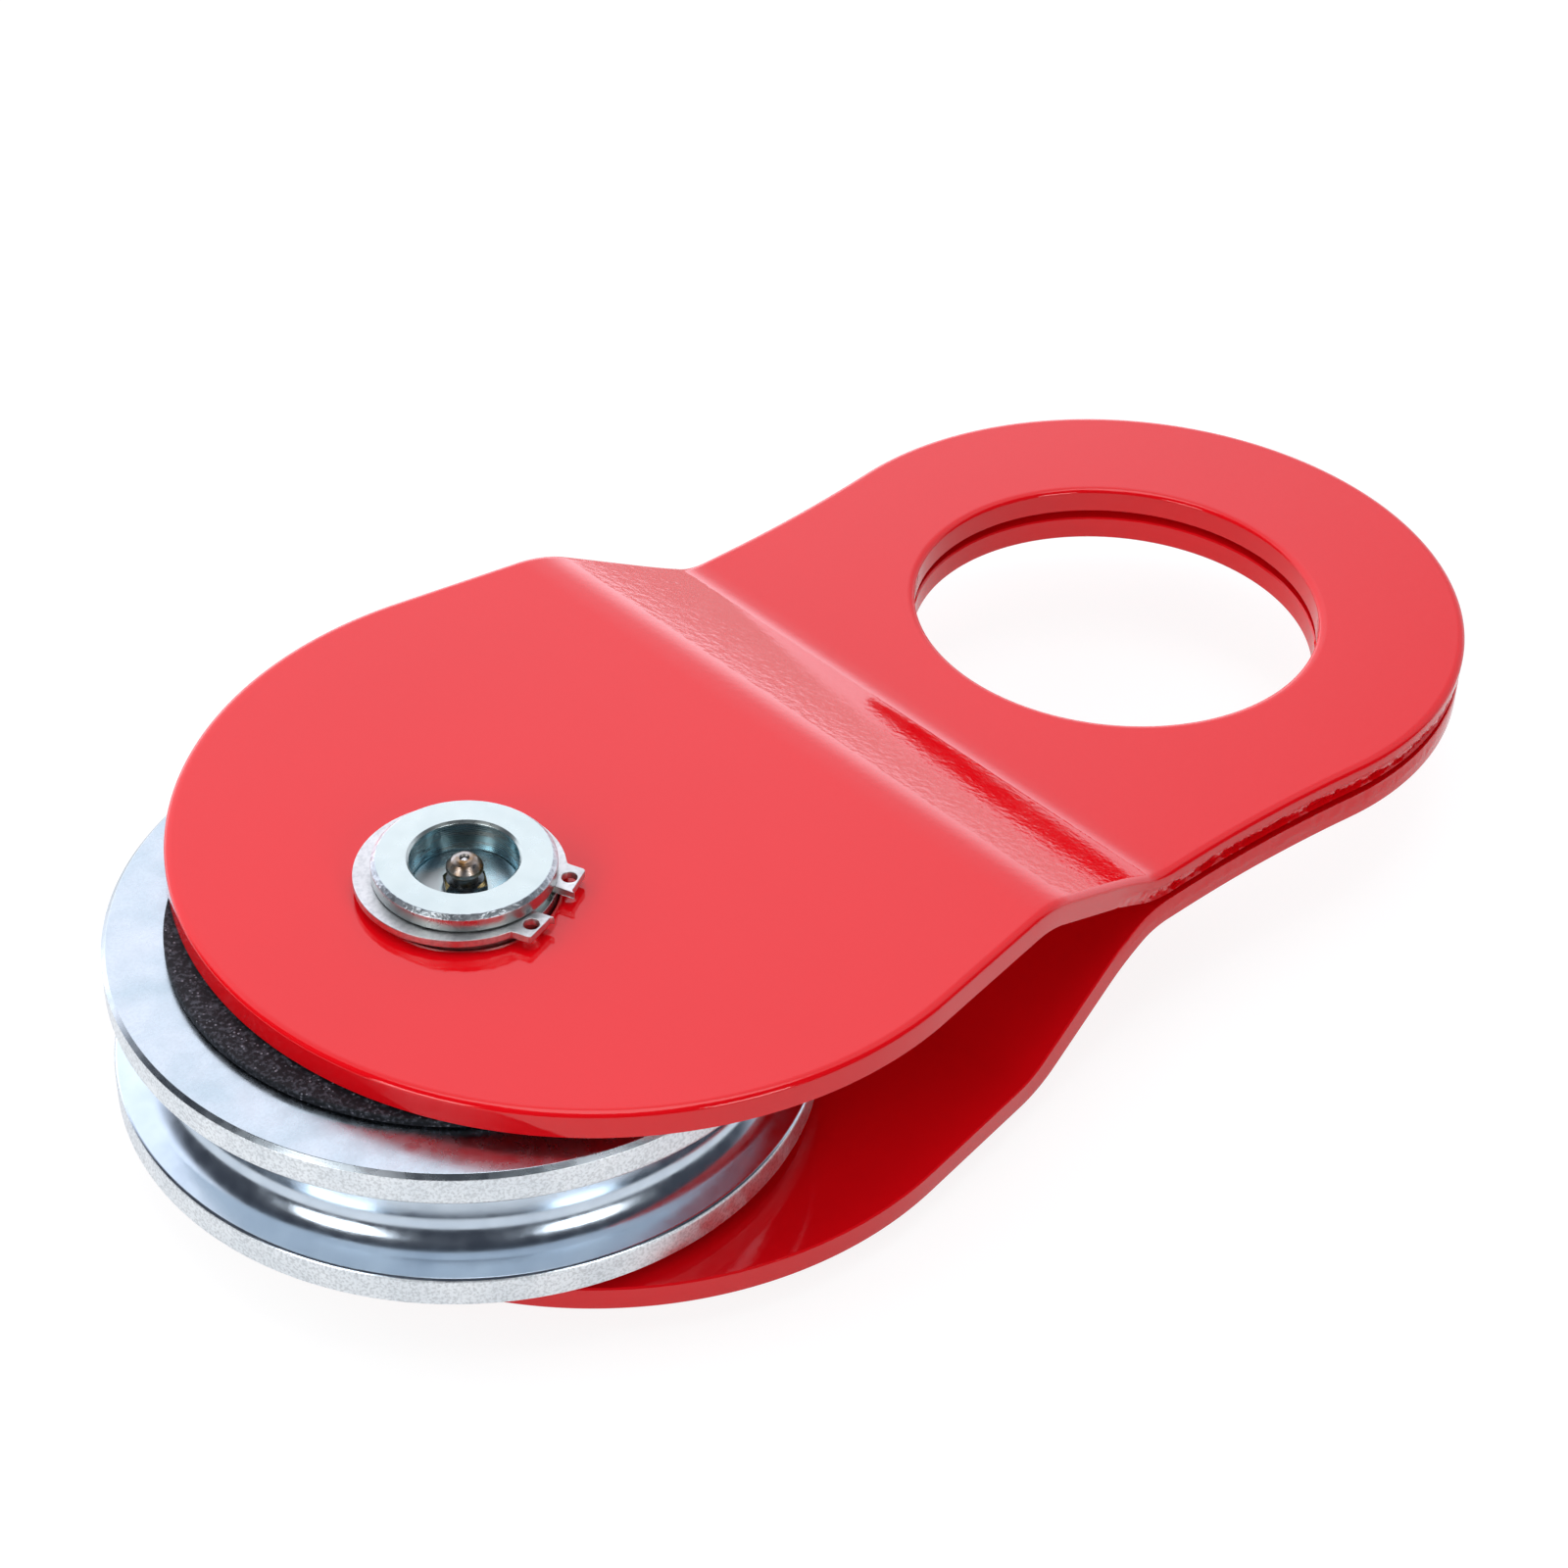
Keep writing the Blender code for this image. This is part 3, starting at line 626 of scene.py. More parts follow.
@dataclass
class Joggle:
    """The side plate's two opposite bends, followed along the middle of its thickness."""

    lobe_middle: float
    eye_middle: float
    outer_line: float = 73.3 * MM
    inner_line: float = 108.3 * MM
    outer_radius: float = 22.7 * MM
    inner_radius: float = 18.7 * MM
    steps: int = 12

    def __post_init__(self) -> None:
        """Work out where along the flat blank each bend starts and ends."""
        drop = self.lobe_middle - self.eye_middle
        self.angle = math.atan2(drop, self.inner_line - self.outer_line)
        outer_back = self.outer_radius * math.tan(self.angle / 2)
        inner_back = self.inner_radius * math.tan(self.angle / 2)
        slope = drop / math.sin(self.angle) - outer_back - inner_back
        self.outer_start = self.outer_line - outer_back
        self.outer_end = self.outer_start + self.outer_radius * self.angle
        self.inner_start = self.outer_end + slope
        self.inner_end = self.inner_start + self.inner_radius * self.angle
        self.stretch = self.inner_end - self.inner_line - inner_back

    def creases(self) -> list[float]:
        """Return the places along the blank where the bends' facets meet."""
        places = []
        for start, end in ((self.outer_start, self.outer_end), (self.inner_start, self.inner_end)):
            places += [start + (end - start) * step / self.steps for step in range(self.steps + 1)]
        return places

    def bend(self, along: float, across: float, out: float) -> Vector:
        """Move a point of the flat blank to its place on the bent plate.

        Args:
            along: distance from the pin along the blank.
            across: distance from the plate's centre line.
            out: distance from the middle of the thickness, outwards.

        Returns:
            The place, with its height about the middle plane of the block.
        """
        x = min(along, self.outer_start)
        z = self.lobe_middle
        turn = 0.0
        if along > self.outer_start:
            turn = (min(along, self.outer_end) - self.outer_start) / self.outer_radius
            x += self.outer_radius * math.sin(turn)
            z -= self.outer_radius * (1.0 - math.cos(turn))
        if along > self.outer_end:
            run = min(along, self.inner_start) - self.outer_end
            x += run * math.cos(self.angle)
            z -= run * math.sin(self.angle)
        if along > self.inner_start:
            turn = (self.inner_end - min(along, self.inner_end)) / self.inner_radius
            x += self.inner_radius * (math.sin(self.angle) - math.sin(turn))
            z -= self.inner_radius * (math.cos(turn) - math.cos(self.angle))
        x += max(0.0, along - self.inner_end)
        return Vector((x + out * math.sin(turn), across, z + out * math.cos(turn)))


@dataclass
class SidePlates:
    """The two side plates: one blank, sheared, edge rolled, powder coated and bent."""

    stack: Stack
    thickness: float = 5.4 * MM
    rolled_inset: float = 1.7 * MM
    rolled_rise: float = 0.9 * MM
    inner_chamfer: float = 0.3 * MM
    eye_gap: float = 1.7 * MM
    lobe_offset: float = 30.0 * MM
    lobe_radius: float = 76.0 * MM
    waist: float = 65.0 * MM
    waist_start: float = 104.3 * MM
    waist_blend: float = 350.0 * MM
    taper_blend: float = 90.0 * MM
    eye_centre: float = 167.1 * MM
    eye_offset: float = 3.1 * MM
    eye_radius: float = 68.3 * MM
    eye_hole: float = 41.0 * MM
    pin_hole: float = 16.3 * MM
    spacing: float = 0.6 * MM
    hole_clear: float = 5.0 * MM
    shear_rows: tuple[float, ...] = tuple(row * MM for row in (0.8, 1.2, 1.6, 2.0, 2.4, 2.8, 3.1))
    shear_start: float = 98.0 * MM
    shear_growth: float = 18.0 * MM
    shear_end: float = 45.0 * MM
    shear_fade: float = 40.0 * MM
    shear_least: float = 0.15
    shear_from: float = 0.3 * MM
    shear_to: float = 2.9 * MM
    shear_ridge: float = 2.3 * MM
    ridge_width: float = 0.8 * MM
    shear_depth: float = 0.4 * MM
    shear_lean: float = 0.62
    shear_below: float = 0.25
    coat: PowderCoat = field(default_factory=PowderCoat)

    def outline(self, eye_x: float) -> list[Point]:
        """Return the blank's outline, with the pin at the origin and the eye round's centre here."""
        blend_y = self.waist + self.waist_blend
        blend_x = eye_x - math.sqrt((self.eye_radius + self.waist_blend) ** 2 - blend_y**2)
        eye_end = math.atan2(blend_y, blend_x - eye_x)
        half = arc((eye_x, 0.0), self.eye_radius, 0.0, eye_end, 116)
        half += arc((blend_x, blend_y), self.waist_blend, eye_end - math.pi, -math.pi / 2, 14)[1:]
        run = self.waist_start - self.lobe_offset
        start = math.atan2(self.waist, run) + math.acos(self.lobe_radius / math.hypot(run, self.waist))
        lobe = arc((self.lobe_offset, 0.0), self.lobe_radius, start, math.pi, 106)
        corner = (self.waist_start, self.waist, self.taper_blend)
        taper = rounded([half[-1], corner, lobe[0]], 10)
        half += taper[1:-1] + lobe
        return evenly(half + [(x, -y) for x, y in reversed(half[1:-1])], self.spacing)

    def shear_marks(self, plate: Piece, eye_x: float, amount: float) -> None:
        """Tear the lower part of the wall along the waist and the eye, as the shears leave it.

        Args:
            plate: the flat blank.
            eye_x: the eye round's centre along the blank.
            amount: how strongly, from 0 to 1.
        """
        torn = plate.data.attributes.new("shear", "FLOAT", "POINT")
        for vert in plate.data.vertices:
            place = vert.co.copy()
            from_eye = math.hypot(place.x - eye_x, place.y)
            from_pin = math.hypot(place.x, place.y)
            clear_of_eye = from_eye > self.eye_hole + self.hole_clear
            is_outer = clear_of_eye and from_pin > self.pin_hole + self.hole_clear
            is_wall = self.shear_from - MERGE < place.z < self.shear_to
            if not (is_outer and is_wall):
                continue
            share = min(1.0, max(0.0, (place.x - self.shear_start) / self.shear_growth))
            left = (eye_x + self.shear_end - place.x) / self.shear_fade
            share *= amount * min(1.0, max(self.shear_least, left))
            rough = noise.fractal(Vector((place.x, place.y, place.z * 1.6)) / (1.5 * MM), 0.9, 2.1, 3)
            ragged = noise.fractal(Vector((place.x, place.y, place.z * 0.4)) / (2.4 * MM), 0.8, 2.1, 3)
            lip = self.shear_ridge + self.shear_depth * 2.4 * ragged
            lean = self.shear_lean * max(0.0, lip - place.z)
            ridge = max(0.0, 1.0 - abs(place.z - self.shear_ridge) / self.ridge_width)
            torn.data[vert.index].value = share * (0.2 + 0.8 * ridge)
            bite = self.shear_depth * (0.3 + 0.7 * ridge) * max(0.0, min(1.0, 0.4 + rough))
            centre = Vector((eye_x if place.x > self.waist_start else place.x, 0.0, place.z))
            vert.co += (centre - place).normalized() * (share * (lean + bite))

    def build(self) -> list[Piece]:
        """Build, bend and dress both plates.

        Returns:
            The upper and the lower plate.
        """
        half = self.thickness / 2
        joggle = Joggle(self.stack.upper_plate - self.stack.middle + half, self.eye_gap / 2 + half)
        eye_x = self.eye_centre + self.eye_offset + joggle.stretch
        holes = [
            arc((self.eye_centre + joggle.stretch, 0.0), self.eye_hole, 0.0, math.tau, 144)[:-1],
            arc((0.0, 0.0), self.pin_hole, 0.0, math.tau, 72)[:-1],
        ]
        upper = stamped(
            "upper_side_plate_coated",
            self.outline(eye_x),
            holes,
            [self.inner_chamfer, *self.shear_rows, self.thickness - self.rolled_rise],
            rolled_edge(self.rolled_inset, self.rolled_rise, 8),
            [(self.inner_chamfer, self.inner_chamfer)],
        )
        lower = copy_of(upper, "lower_side_plate_coated", Matrix())
        lift = lifted(self.stack.middle)
        over = lift @ Matrix.Rotation(math.pi, 4, "X")
        coat = self.coat.material("red_powder_coat")
        for plate, node, body, amount, placing in (
            (upper, "upper_side_plate", Body.UPPER, 1.0, lift),
            (lower, "lower_side_plate", Body.LOWER, self.shear_below, over),
        ):
            self.shear_marks(plate, eye_x, amount)
            activate(plate)
            bpy.ops.object.mode_set(mode="EDIT")
            for crease in joggle.creases():
                bpy.ops.mesh.select_all(action="SELECT")
                cut = {"plane_co": (crease, 0.0, 0.0), "plane_no": (1.0, 0.0, 0.0)}
                bpy.ops.mesh.bisect(**cut, threshold=MERGE)
            bpy.ops.object.mode_set(mode="OBJECT")
            for vert in plate.data.vertices:
                vert.co = joggle.bend(vert.co.x, vert.co.y, vert.co.z - half)
            smooth(plate, 40.0)
            plate.data.transform(placing)
            stand_for(plate, node, body.value, [coat])
        return [upper, lower]


@dataclass
class Sheave:
    """The grooved sheave and its bush."""

    stack: Stack
    radius: float = 62.5 * MM
    half_width: float = 15.1 * MM
    edge_chamfer: float = 0.85 * MM
    bore: float = 19.2 * MM
    groove_depth: float = 7.9 * MM
    groove_radius: float = 5.8 * MM
    groove_flat: float = 2.24 * MM
    flank_angle: float = math.radians(15.5)
    lip_radius: float = 1.0 * MM
    face: Zinc = Zinc(
        (0.58, 0.63, 0.68),
        roughness=0.26,
        turning_depth=0.0004 * MM,
        grain_size=0.6 * MM,
        grain_shade=0.08,
    )
    # Painted highlight: the rim's colour is lighter than the rest of the sheave's plating and stands in
    # for the light its rough band catches. Its grain and roughness are the real rough band.
    rim: Zinc = Zinc(
        (0.90, 0.94, 0.97), (0.80, 0.85, 0.89), 0.4, grain_depth=0.045 * MM, grain_shade=0.35
    )
    groove: Zinc = Zinc((0.64, 0.73, 0.82), (0.54, 0.63, 0.73), 0.2)

    def profile(self) -> list[Point]:
        """Return the closed (radius, height) profile about the groove's middle."""
        centre = self.radius - self.groove_depth + self.groove_radius
        bearing = math.pi / 2 + self.flank_angle
        half = [(centre - self.groove_radius, 0.0)]
        half += arc((centre, self.groove_flat), self.groove_radius, math.pi, bearing, 18)
        lip = self.radius - self.lip_radius
        rise = (lip - half[-1][0]) * math.tan(self.flank_angle)
        top = half[-1][1] + rise + self.lip_radius / math.cos(self.flank_angle)
        half += arc((lip, top), self.lip_radius, bearing - math.pi, 0.0, 8)
        edge = [
            (self.radius, top + 0.5 * MM),
            (self.radius, self.half_width - self.edge_chamfer, 0.25 * MM),
            (self.radius - self.edge_chamfer, self.half_width, 0.25 * MM),
            (self.bore, self.half_width),
        ]
        half += rounded(edge, 4)
        return [(r, -z) for r, z in reversed(half[1:])] + half

    def zone(self, polygon: Face) -> int:
        """Tell whether a face lies on the side faces, the rim or in the groove."""
        centre = polygon.center
        reach = math.hypot(centre.x, centre.y)
        height = abs(centre.z - self.stack.middle)
        if height > self.half_width - self.edge_chamfer * 0.9 or reach < self.bore + MM:
            return 0
        return 1 if reach > self.radius - 0.2 * MM else 2

    def build(self) -> list[Piece]:
        """Build and dress the sheave, and dress its bush."""
        piece = turned("sheave_plated", self.profile(), 192)
        piece.data.transform(lifted(self.stack.middle))
        smooth(piece, 30.0)
        finishes = [
            self.face.material("sheave_face_zinc"),
            self.rim.material("sheave_rim_zinc"),
            self.groove.material("sheave_groove_zinc"),
        ]
        stand_for(piece, "sheave", Body.SHEAVE.value, finishes, self.zone)
        bronze = PassivatedSteel((0.55, 0.33, 0.14), (0.40, 0.22, 0.09), 5.0 * MM, 0.3)
        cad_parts["sheave_bush"].data.materials[0] = bronze.material("bush_bronze")
        return [piece]


@dataclass
class ThrustWashers:
    """The two granular black washers between the sheave and the plates."""

    stack: Stack
    inner: float = 16.3 * MM
    outer: float = 51.75 * MM
    thickness: float = 1.6 * MM
    edge: float = 0.3 * MM
    coat: FrictionBlack = field(default_factory=FrictionBlack)

    def build(self) -> list[Piece]:
        """Build and dress both washers."""
        corners = [
            (self.inner, 0.0, 0.12 * MM),
            (self.outer, 0.0, self.edge),
            (self.outer, self.thickness, self.edge),
            (self.inner, self.thickness, 0.12 * MM),
        ]
        upper = turned("upper_thrust_washer_coated", rounded(corners, 4, closed=True), 160)
        smooth(upper, 40.0)
        lower = copy_of(upper, "lower_thrust_washer_coated", lifted(self.stack.lower_washer))
        upper.data.transform(lifted(self.stack.upper_washer))
        coat = self.coat.material("black_friction_coat")
        stand_for(upper, "upper_thrust_washer", Body.SHEAVE.value, [coat])
        stand_for(lower, "lower_thrust_washer", Body.LOWER.value, [coat])
        return [upper, lower]


@dataclass
class AxlePin:
    """The axle pin, with its ring grooves, nipple pocket and grease bore."""

    stack: Stack
    radius: float = 16.0 * MM
    end_chamfer: float = 0.8 * MM
    groove_radius: float = 15.1 * MM
    groove_height: float = 2.1 * MM
    groove_side_gap: float = 0.3 * MM
    pocket: float = 9.45 * MM
    pocket_depth: float = 7.0 * MM
    pocket_chamfer: float = 0.5 * MM
    thread: float = 3.3 * MM
    thread_depth: float = 6.0 * MM
    bore: float = 2.0 * MM
    end: Zinc = Zinc((0.60, 0.66, 0.64), (0.54, 0.61, 0.60), 0.3, turning_depth=0.0005 * MM)
    edge: Zinc = Zinc(
        (0.80, 0.84, 0.86), roughness=0.36, grain_size=0.9 * MM, grain_depth=0.20 * MM, grain_shade=0.5
    )
    wall: BoreZinc = field(default_factory=BoreZinc)

    def profile(self) -> list[Point]:
        """Return the pin's (radius, height) profile, open along the axis."""
        length = self.stack.pin_length
        floor = length - self.pocket_depth
        thread_end = floor - self.thread_depth
        corners = [
            (0.0, 0.0),
            (self.radius - self.end_chamfer, 0.0, 0.3 * MM),
            (self.radius, self.end_chamfer, 0.3 * MM),
        ]
        for ring in (self.stack.lower_ring, self.stack.upper_ring):
            low = ring - self.groove_side_gap
            high = low + self.groove_height
            corners += [(self.radius, low, 0.1 * MM), (self.groove_radius, low)]
            corners += [(self.groove_radius, high), (self.radius, high, 0.1 * MM)]
        corners += [
            (self.radius, length - self.end_chamfer, 0.3 * MM),
            (self.radius - self.end_chamfer, length, 0.3 * MM),
            (self.pocket + self.pocket_chamfer, length, 0.15 * MM),
            (self.pocket, length - self.pocket_chamfer, 0.15 * MM),
            (self.pocket, floor, 0.35 * MM),
            (self.thread, floor),
            (self.thread, thread_end),
            (self.bore, thread_end - (self.thread - self.bore)),
            (self.bore, self.stack.middle),
            (0.0, self.stack.middle - self.bore / 2),
        ]
        return rounded(corners, 4)

    def zone(self, polygon: Face) -> int:
        """Tell whether a face lies on an end or side, on a chamfer or in the pocket."""
        centre, normal = polygon.center, polygon.normal
        reach = math.hypot(centre.x, centre.y)
        if reach < self.pocket + 0.02 * MM and centre.z > self.stack.middle:
            return 2
        is_chamfer = 0.15 < abs(normal.z) < 0.98 and reach > self.radius - self.end_chamfer - 0.2 * MM
        return 1 if is_chamfer else 0

    def build(self) -> list[Piece]:
        """Build and dress the pin."""
        piece = turned("axle_pin_plated", self.profile(), 128, closed=False)
        smooth(piece, 35.0)
        finishes = [
            self.end.material("pin_end_zinc"),
            self.edge.material("pin_edge_zinc"),
            self.wall.material("pin_pocket_zinc"),
        ]
        stand_for(piece, "axle_pin", Body.LOWER.value, finishes, self.zone)
        return [piece]


@dataclass
class SnapRings:
    """The two snap rings, stamped with lugs and plier holes."""

    stack: Stack
    inner: float = 15.4 * MM
    thickness: float = 1.5 * MM
    back_width: float = 3.9 * MM
    end_width: float = 2.1 * MM
    mouth: float = 7.4 * MM
    lug_width: float = 6.3 * MM
    lug_reach: float = 5.2 * MM
    lug_corner: float = 0.7 * MM
    lug_root: float = 0.9 * MM
    hole_radius: float = 1.4 * MM
    hole_reach: float = 2.55 * MM
    burr: float = 0.12 * MM
    upper_turn: float = -67.6
    lower_turn: float = 112.4
    steel: Zinc = Zinc(
        (0.76, 0.75, 0.75),
        (0.62, 0.61, 0.61),
        0.42,
        grain_size=0.9 * MM,
        grain_depth=0.03 * MM,
        grain_shade=0.22,
    )

    def outline(self) -> list[Point]:
        """Return the ring's outline, open at +X."""
        body = self.inner + (self.back_width + self.end_width) / 2
        body_x = (self.end_width - self.back_width) / 2
        mouth = self.mouth / 2
        side = mouth + self.lug_width
        reach = self.inner + self.lug_reach
        root = math.asin(side / body)
        start = math.asin(mouth / self.inner)
        run_in = root + (math.tau - 2 * root) / 36
        back = arc((body_x, 0.0), body, run_in, math.tau - run_in, 120)
        inner = arc((0.0, 0.0), self.inner, math.tau - start, start, 120)
        corners = [
            inner[-1],
            (math.sqrt(reach**2 - mouth**2), mouth, self.lug_corner),
            (math.sqrt(reach**2 - side**2), side, self.lug_corner),
            (body_x + body * math.cos(root), side, self.lug_root),
            back[0],
        ]
        lug = rounded(corners, 8)[1:-1]
        return lug + back + [(x, -y) for x, y in reversed(lug)] + inner

    def build(self) -> list[Piece]:
        """Build and dress both rings."""
        side = (self.mouth + self.lug_width) / 2
        along = math.sqrt((self.inner + self.hole_reach) ** 2 - side**2)
        holes = [arc((along, y), self.hole_radius, 0.0, math.tau, 32)[:-1] for y in (side, -side)]
        edge = rolled_edge(self.burr, self.burr, 3)
        walls = [self.burr, self.thickness - self.burr]
        blank = stamped("snap_ring_blank", self.outline(), holes, walls, edge, edge)
        smooth(blank, 50.0)
        steel = self.steel.material("plated_ring_steel")
        rings = []
        for name, height, turn in (
            ("upper_snap_ring", self.stack.upper_ring, self.upper_turn),
            ("lower_snap_ring", self.stack.lower_ring, self.lower_turn),
        ):
            placing = lifted(height) @ Matrix.Rotation(math.radians(turn), 4, "Z")
            ring = copy_of(blank, f"{name}_plated", placing)
            stand_for(ring, name, Body.LOWER.value, [steel])
            rings.append(ring)
        bpy.data.objects.remove(blank)
        return rings


@dataclass
class GreaseNipple:
    """The grease nipple in the pin's pocket, with its ball and spring."""

    stack: Stack
    seat_depth: float = 6.7 * MM
    shank: float = 3.0 * MM
    shank_length: float = 6.0 * MM
    across_flats: float = 7.2 * MM
    hex_height: float = 1.9 * MM
    neck: float = 2.25 * MM
    neck_top: float = 2.9 * MM
    head: float = 3.25 * MM
    band_top: float = 4.7 * MM
    band: float = 0.7 * MM
    shoulder: float = 2.25 * MM
    shoulder_top: float = 6.0 * MM
    tip: float = 1.5 * MM
    top: float = 6.45 * MM
    mouth: float = 0.8 * MM
    mouth_length: float = 0.4 * MM
    bore: float = 1.5 * MM
    lip: float = 0.5 * MM
    # Half width of the band of painted shade across the hexagon, which faces the camera.
    shade_band: float = 2.5 * MM
    ball_travel: float = 0.8 * MM

    def profile(self) -> list[Point]:
        """Return the nipple's closed (radius, height) profile, without its hexagon."""
        foot = -self.shank_length
        seat = self.top - self.mouth_length
        corners = [
            (self.shank - 0.4 * MM, foot),
            (self.shank, foot + 0.4 * MM),
            (self.shank, 0.3 * MM),
            (self.neck, 0.3 * MM),
            (self.neck, self.neck_top, 0.25 * MM),
            (self.head, self.band_top - self.band, 0.4 * MM),
            (self.head, self.band_top, 0.9 * MM),
            (self.shoulder, self.shoulder_top, 0.5 * MM),
            (self.tip, self.top, 0.25 * MM),
            (self.mouth, self.top, 0.12 * MM),
            (self.mouth, seat),
            (self.bore, seat - (self.bore - self.mouth)),
            (self.bore, foot + self.lip),
            (self.mouth, foot + self.lip),
            (self.mouth, foot),
        ]
        return rounded(corners, 6, closed=True)

    def hexagon(self) -> Piece:
        """Return the spanner hexagon with the chamfer that turning leaves on its corners."""
        corner = self.across_flats / 2 / math.cos(math.pi / 6)
        bpy.ops.mesh.primitive_cylinder_add(
            vertices=6,
            radius=corner,
            depth=self.hex_height,
            location=(0.0, 0.0, self.hex_height / 2),
            rotation=(0.0, 0.0, math.radians(30.0)),
        )
        blank = bpy.context.object
        bpy.ops.object.transform_apply(location=True, rotation=True, scale=True)
        flat = self.across_flats / 2
        cone = [
            (0.9 * MM, -0.1 * MM),
            (corner + 0.3 * MM, -0.1 * MM),
            (corner + 0.3 * MM, self.hex_height - 0.85 * MM),
            (flat - 0.35 * MM, self.hex_height + 0.01 * MM),
            (0.9 * MM, self.hex_height + 0.01 * MM),
        ]
        combine(blank, turned("hex_chamfer", cone, 72), Joining.INTERSECT)
        return blank

    def zone(self, polygon: Face) -> int:
        """Tell whether a face lies on the hexagon's gold chamfer, on the head, or in painted shade: the
        upright flats, the shank and a band across the hexagon facing the camera.
        """
        centre = polygon.center
        if centre.z > self.stack.pin_length - self.seat_depth + self.hex_height + 0.1 * MM:
            return 1
        # Painted shade: a band across the hexagon, facing the camera, goes as dark as the upright
        # flats, so only its left and right corners show gold.
        in_shade_band = abs(centre.x - centre.y) < self.shade_band * math.sqrt(2.0)
        return 0 if polygon.normal.z > 0.2 and not in_shade_band else 2

    def build(self) -> list[Piece]:
        """Build and dress the nipple and its spring, and dress its ball."""
        nipple = turned("grease_nipple_plated", self.profile(), 72)
        combine(nipple, self.hexagon(), Joining.UNION)
        nipple.data.transform(lifted(self.stack.pin_length - self.seat_depth))
        smooth(nipple, 30.0)
        gold = PassivatedSteel((0.66, 0.50, 0.22), (0.20, 0.13, 0.06), 1.6 * MM, 0.2)
        head = PassivatedSteel((0.44, 0.41, 0.39), (0.24, 0.13, 0.05), 3.2 * MM, 0.3)
        # Painted shade: near-black steel for the nipple's upright flats, shank and the band facing the
        # camera.
        dark = PassivatedSteel((0.10, 0.12, 0.13), (0.05, 0.05, 0.05), 2.0 * MM, 0.25)
        finishes = [
            gold.material("nipple_yellow_zinc"),
            head.material("nipple_head_steel"),
            dark.material("nipple_painted_shade_steel"),
        ]
        stand_for(nipple, "grease_nipple", Body.LOWER.value, finishes, self.zone)
        steel = PassivatedSteel((0.68, 0.67, 0.66), (0.55, 0.54, 0.53), 1.0 * MM, 0.16)
        bright = steel.material("bright_steel")
        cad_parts["nipple_ball"].data.materials[0] = bright
        return [nipple, self.spring(bright)]

    def spring(self, steel: Material) -> Piece:
        """Copy the valve spring from the solid's own coil."""
        spring = copy_of(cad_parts["nipple_spring"], "valve_spring", Matrix.Identity(4))
        stand_for(spring, "nipple_spring", Body.LOWER.value, [steel])
        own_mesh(spring)
        return spring


# The studio


def way_to(azimuth: float, elevation: float) -> Vector:
    """Return the unit vector from the block towards an azimuth and elevation in degrees."""
    a, e = math.radians(azimuth), math.radians(elevation)
    return Vector((math.sin(a) * math.cos(e), -math.cos(a) * math.cos(e), math.sin(e)))


@dataclass
class Softbox:
    """One lamp, placed by the way it is seen from the block."""

    name: str
    bearing: float
    elevation: float
    width: float
    height: float
    radiance: float
    mirrored: bool = True
    distance: float = 1.5

    def build(self, target: Vector) -> None:
        """Hang the lamp and aim it at the block."""
        way = way_to(self.bearing, self.elevation)
        data = bpy.data.lights.new(self.name, "AREA")
        data.shape = "RECTANGLE"
        data.size = self.width
        data.size_y = self.height
        data.energy = self.radiance * math.pi * self.width * self.height
        lamp = added(self.name, data)
        lamp.location = target + way * self.distance
        lamp.rotation_euler = way.to_track_quat("Z", "Y").to_euler()
        lamp.visible_glossy = self.mirrored


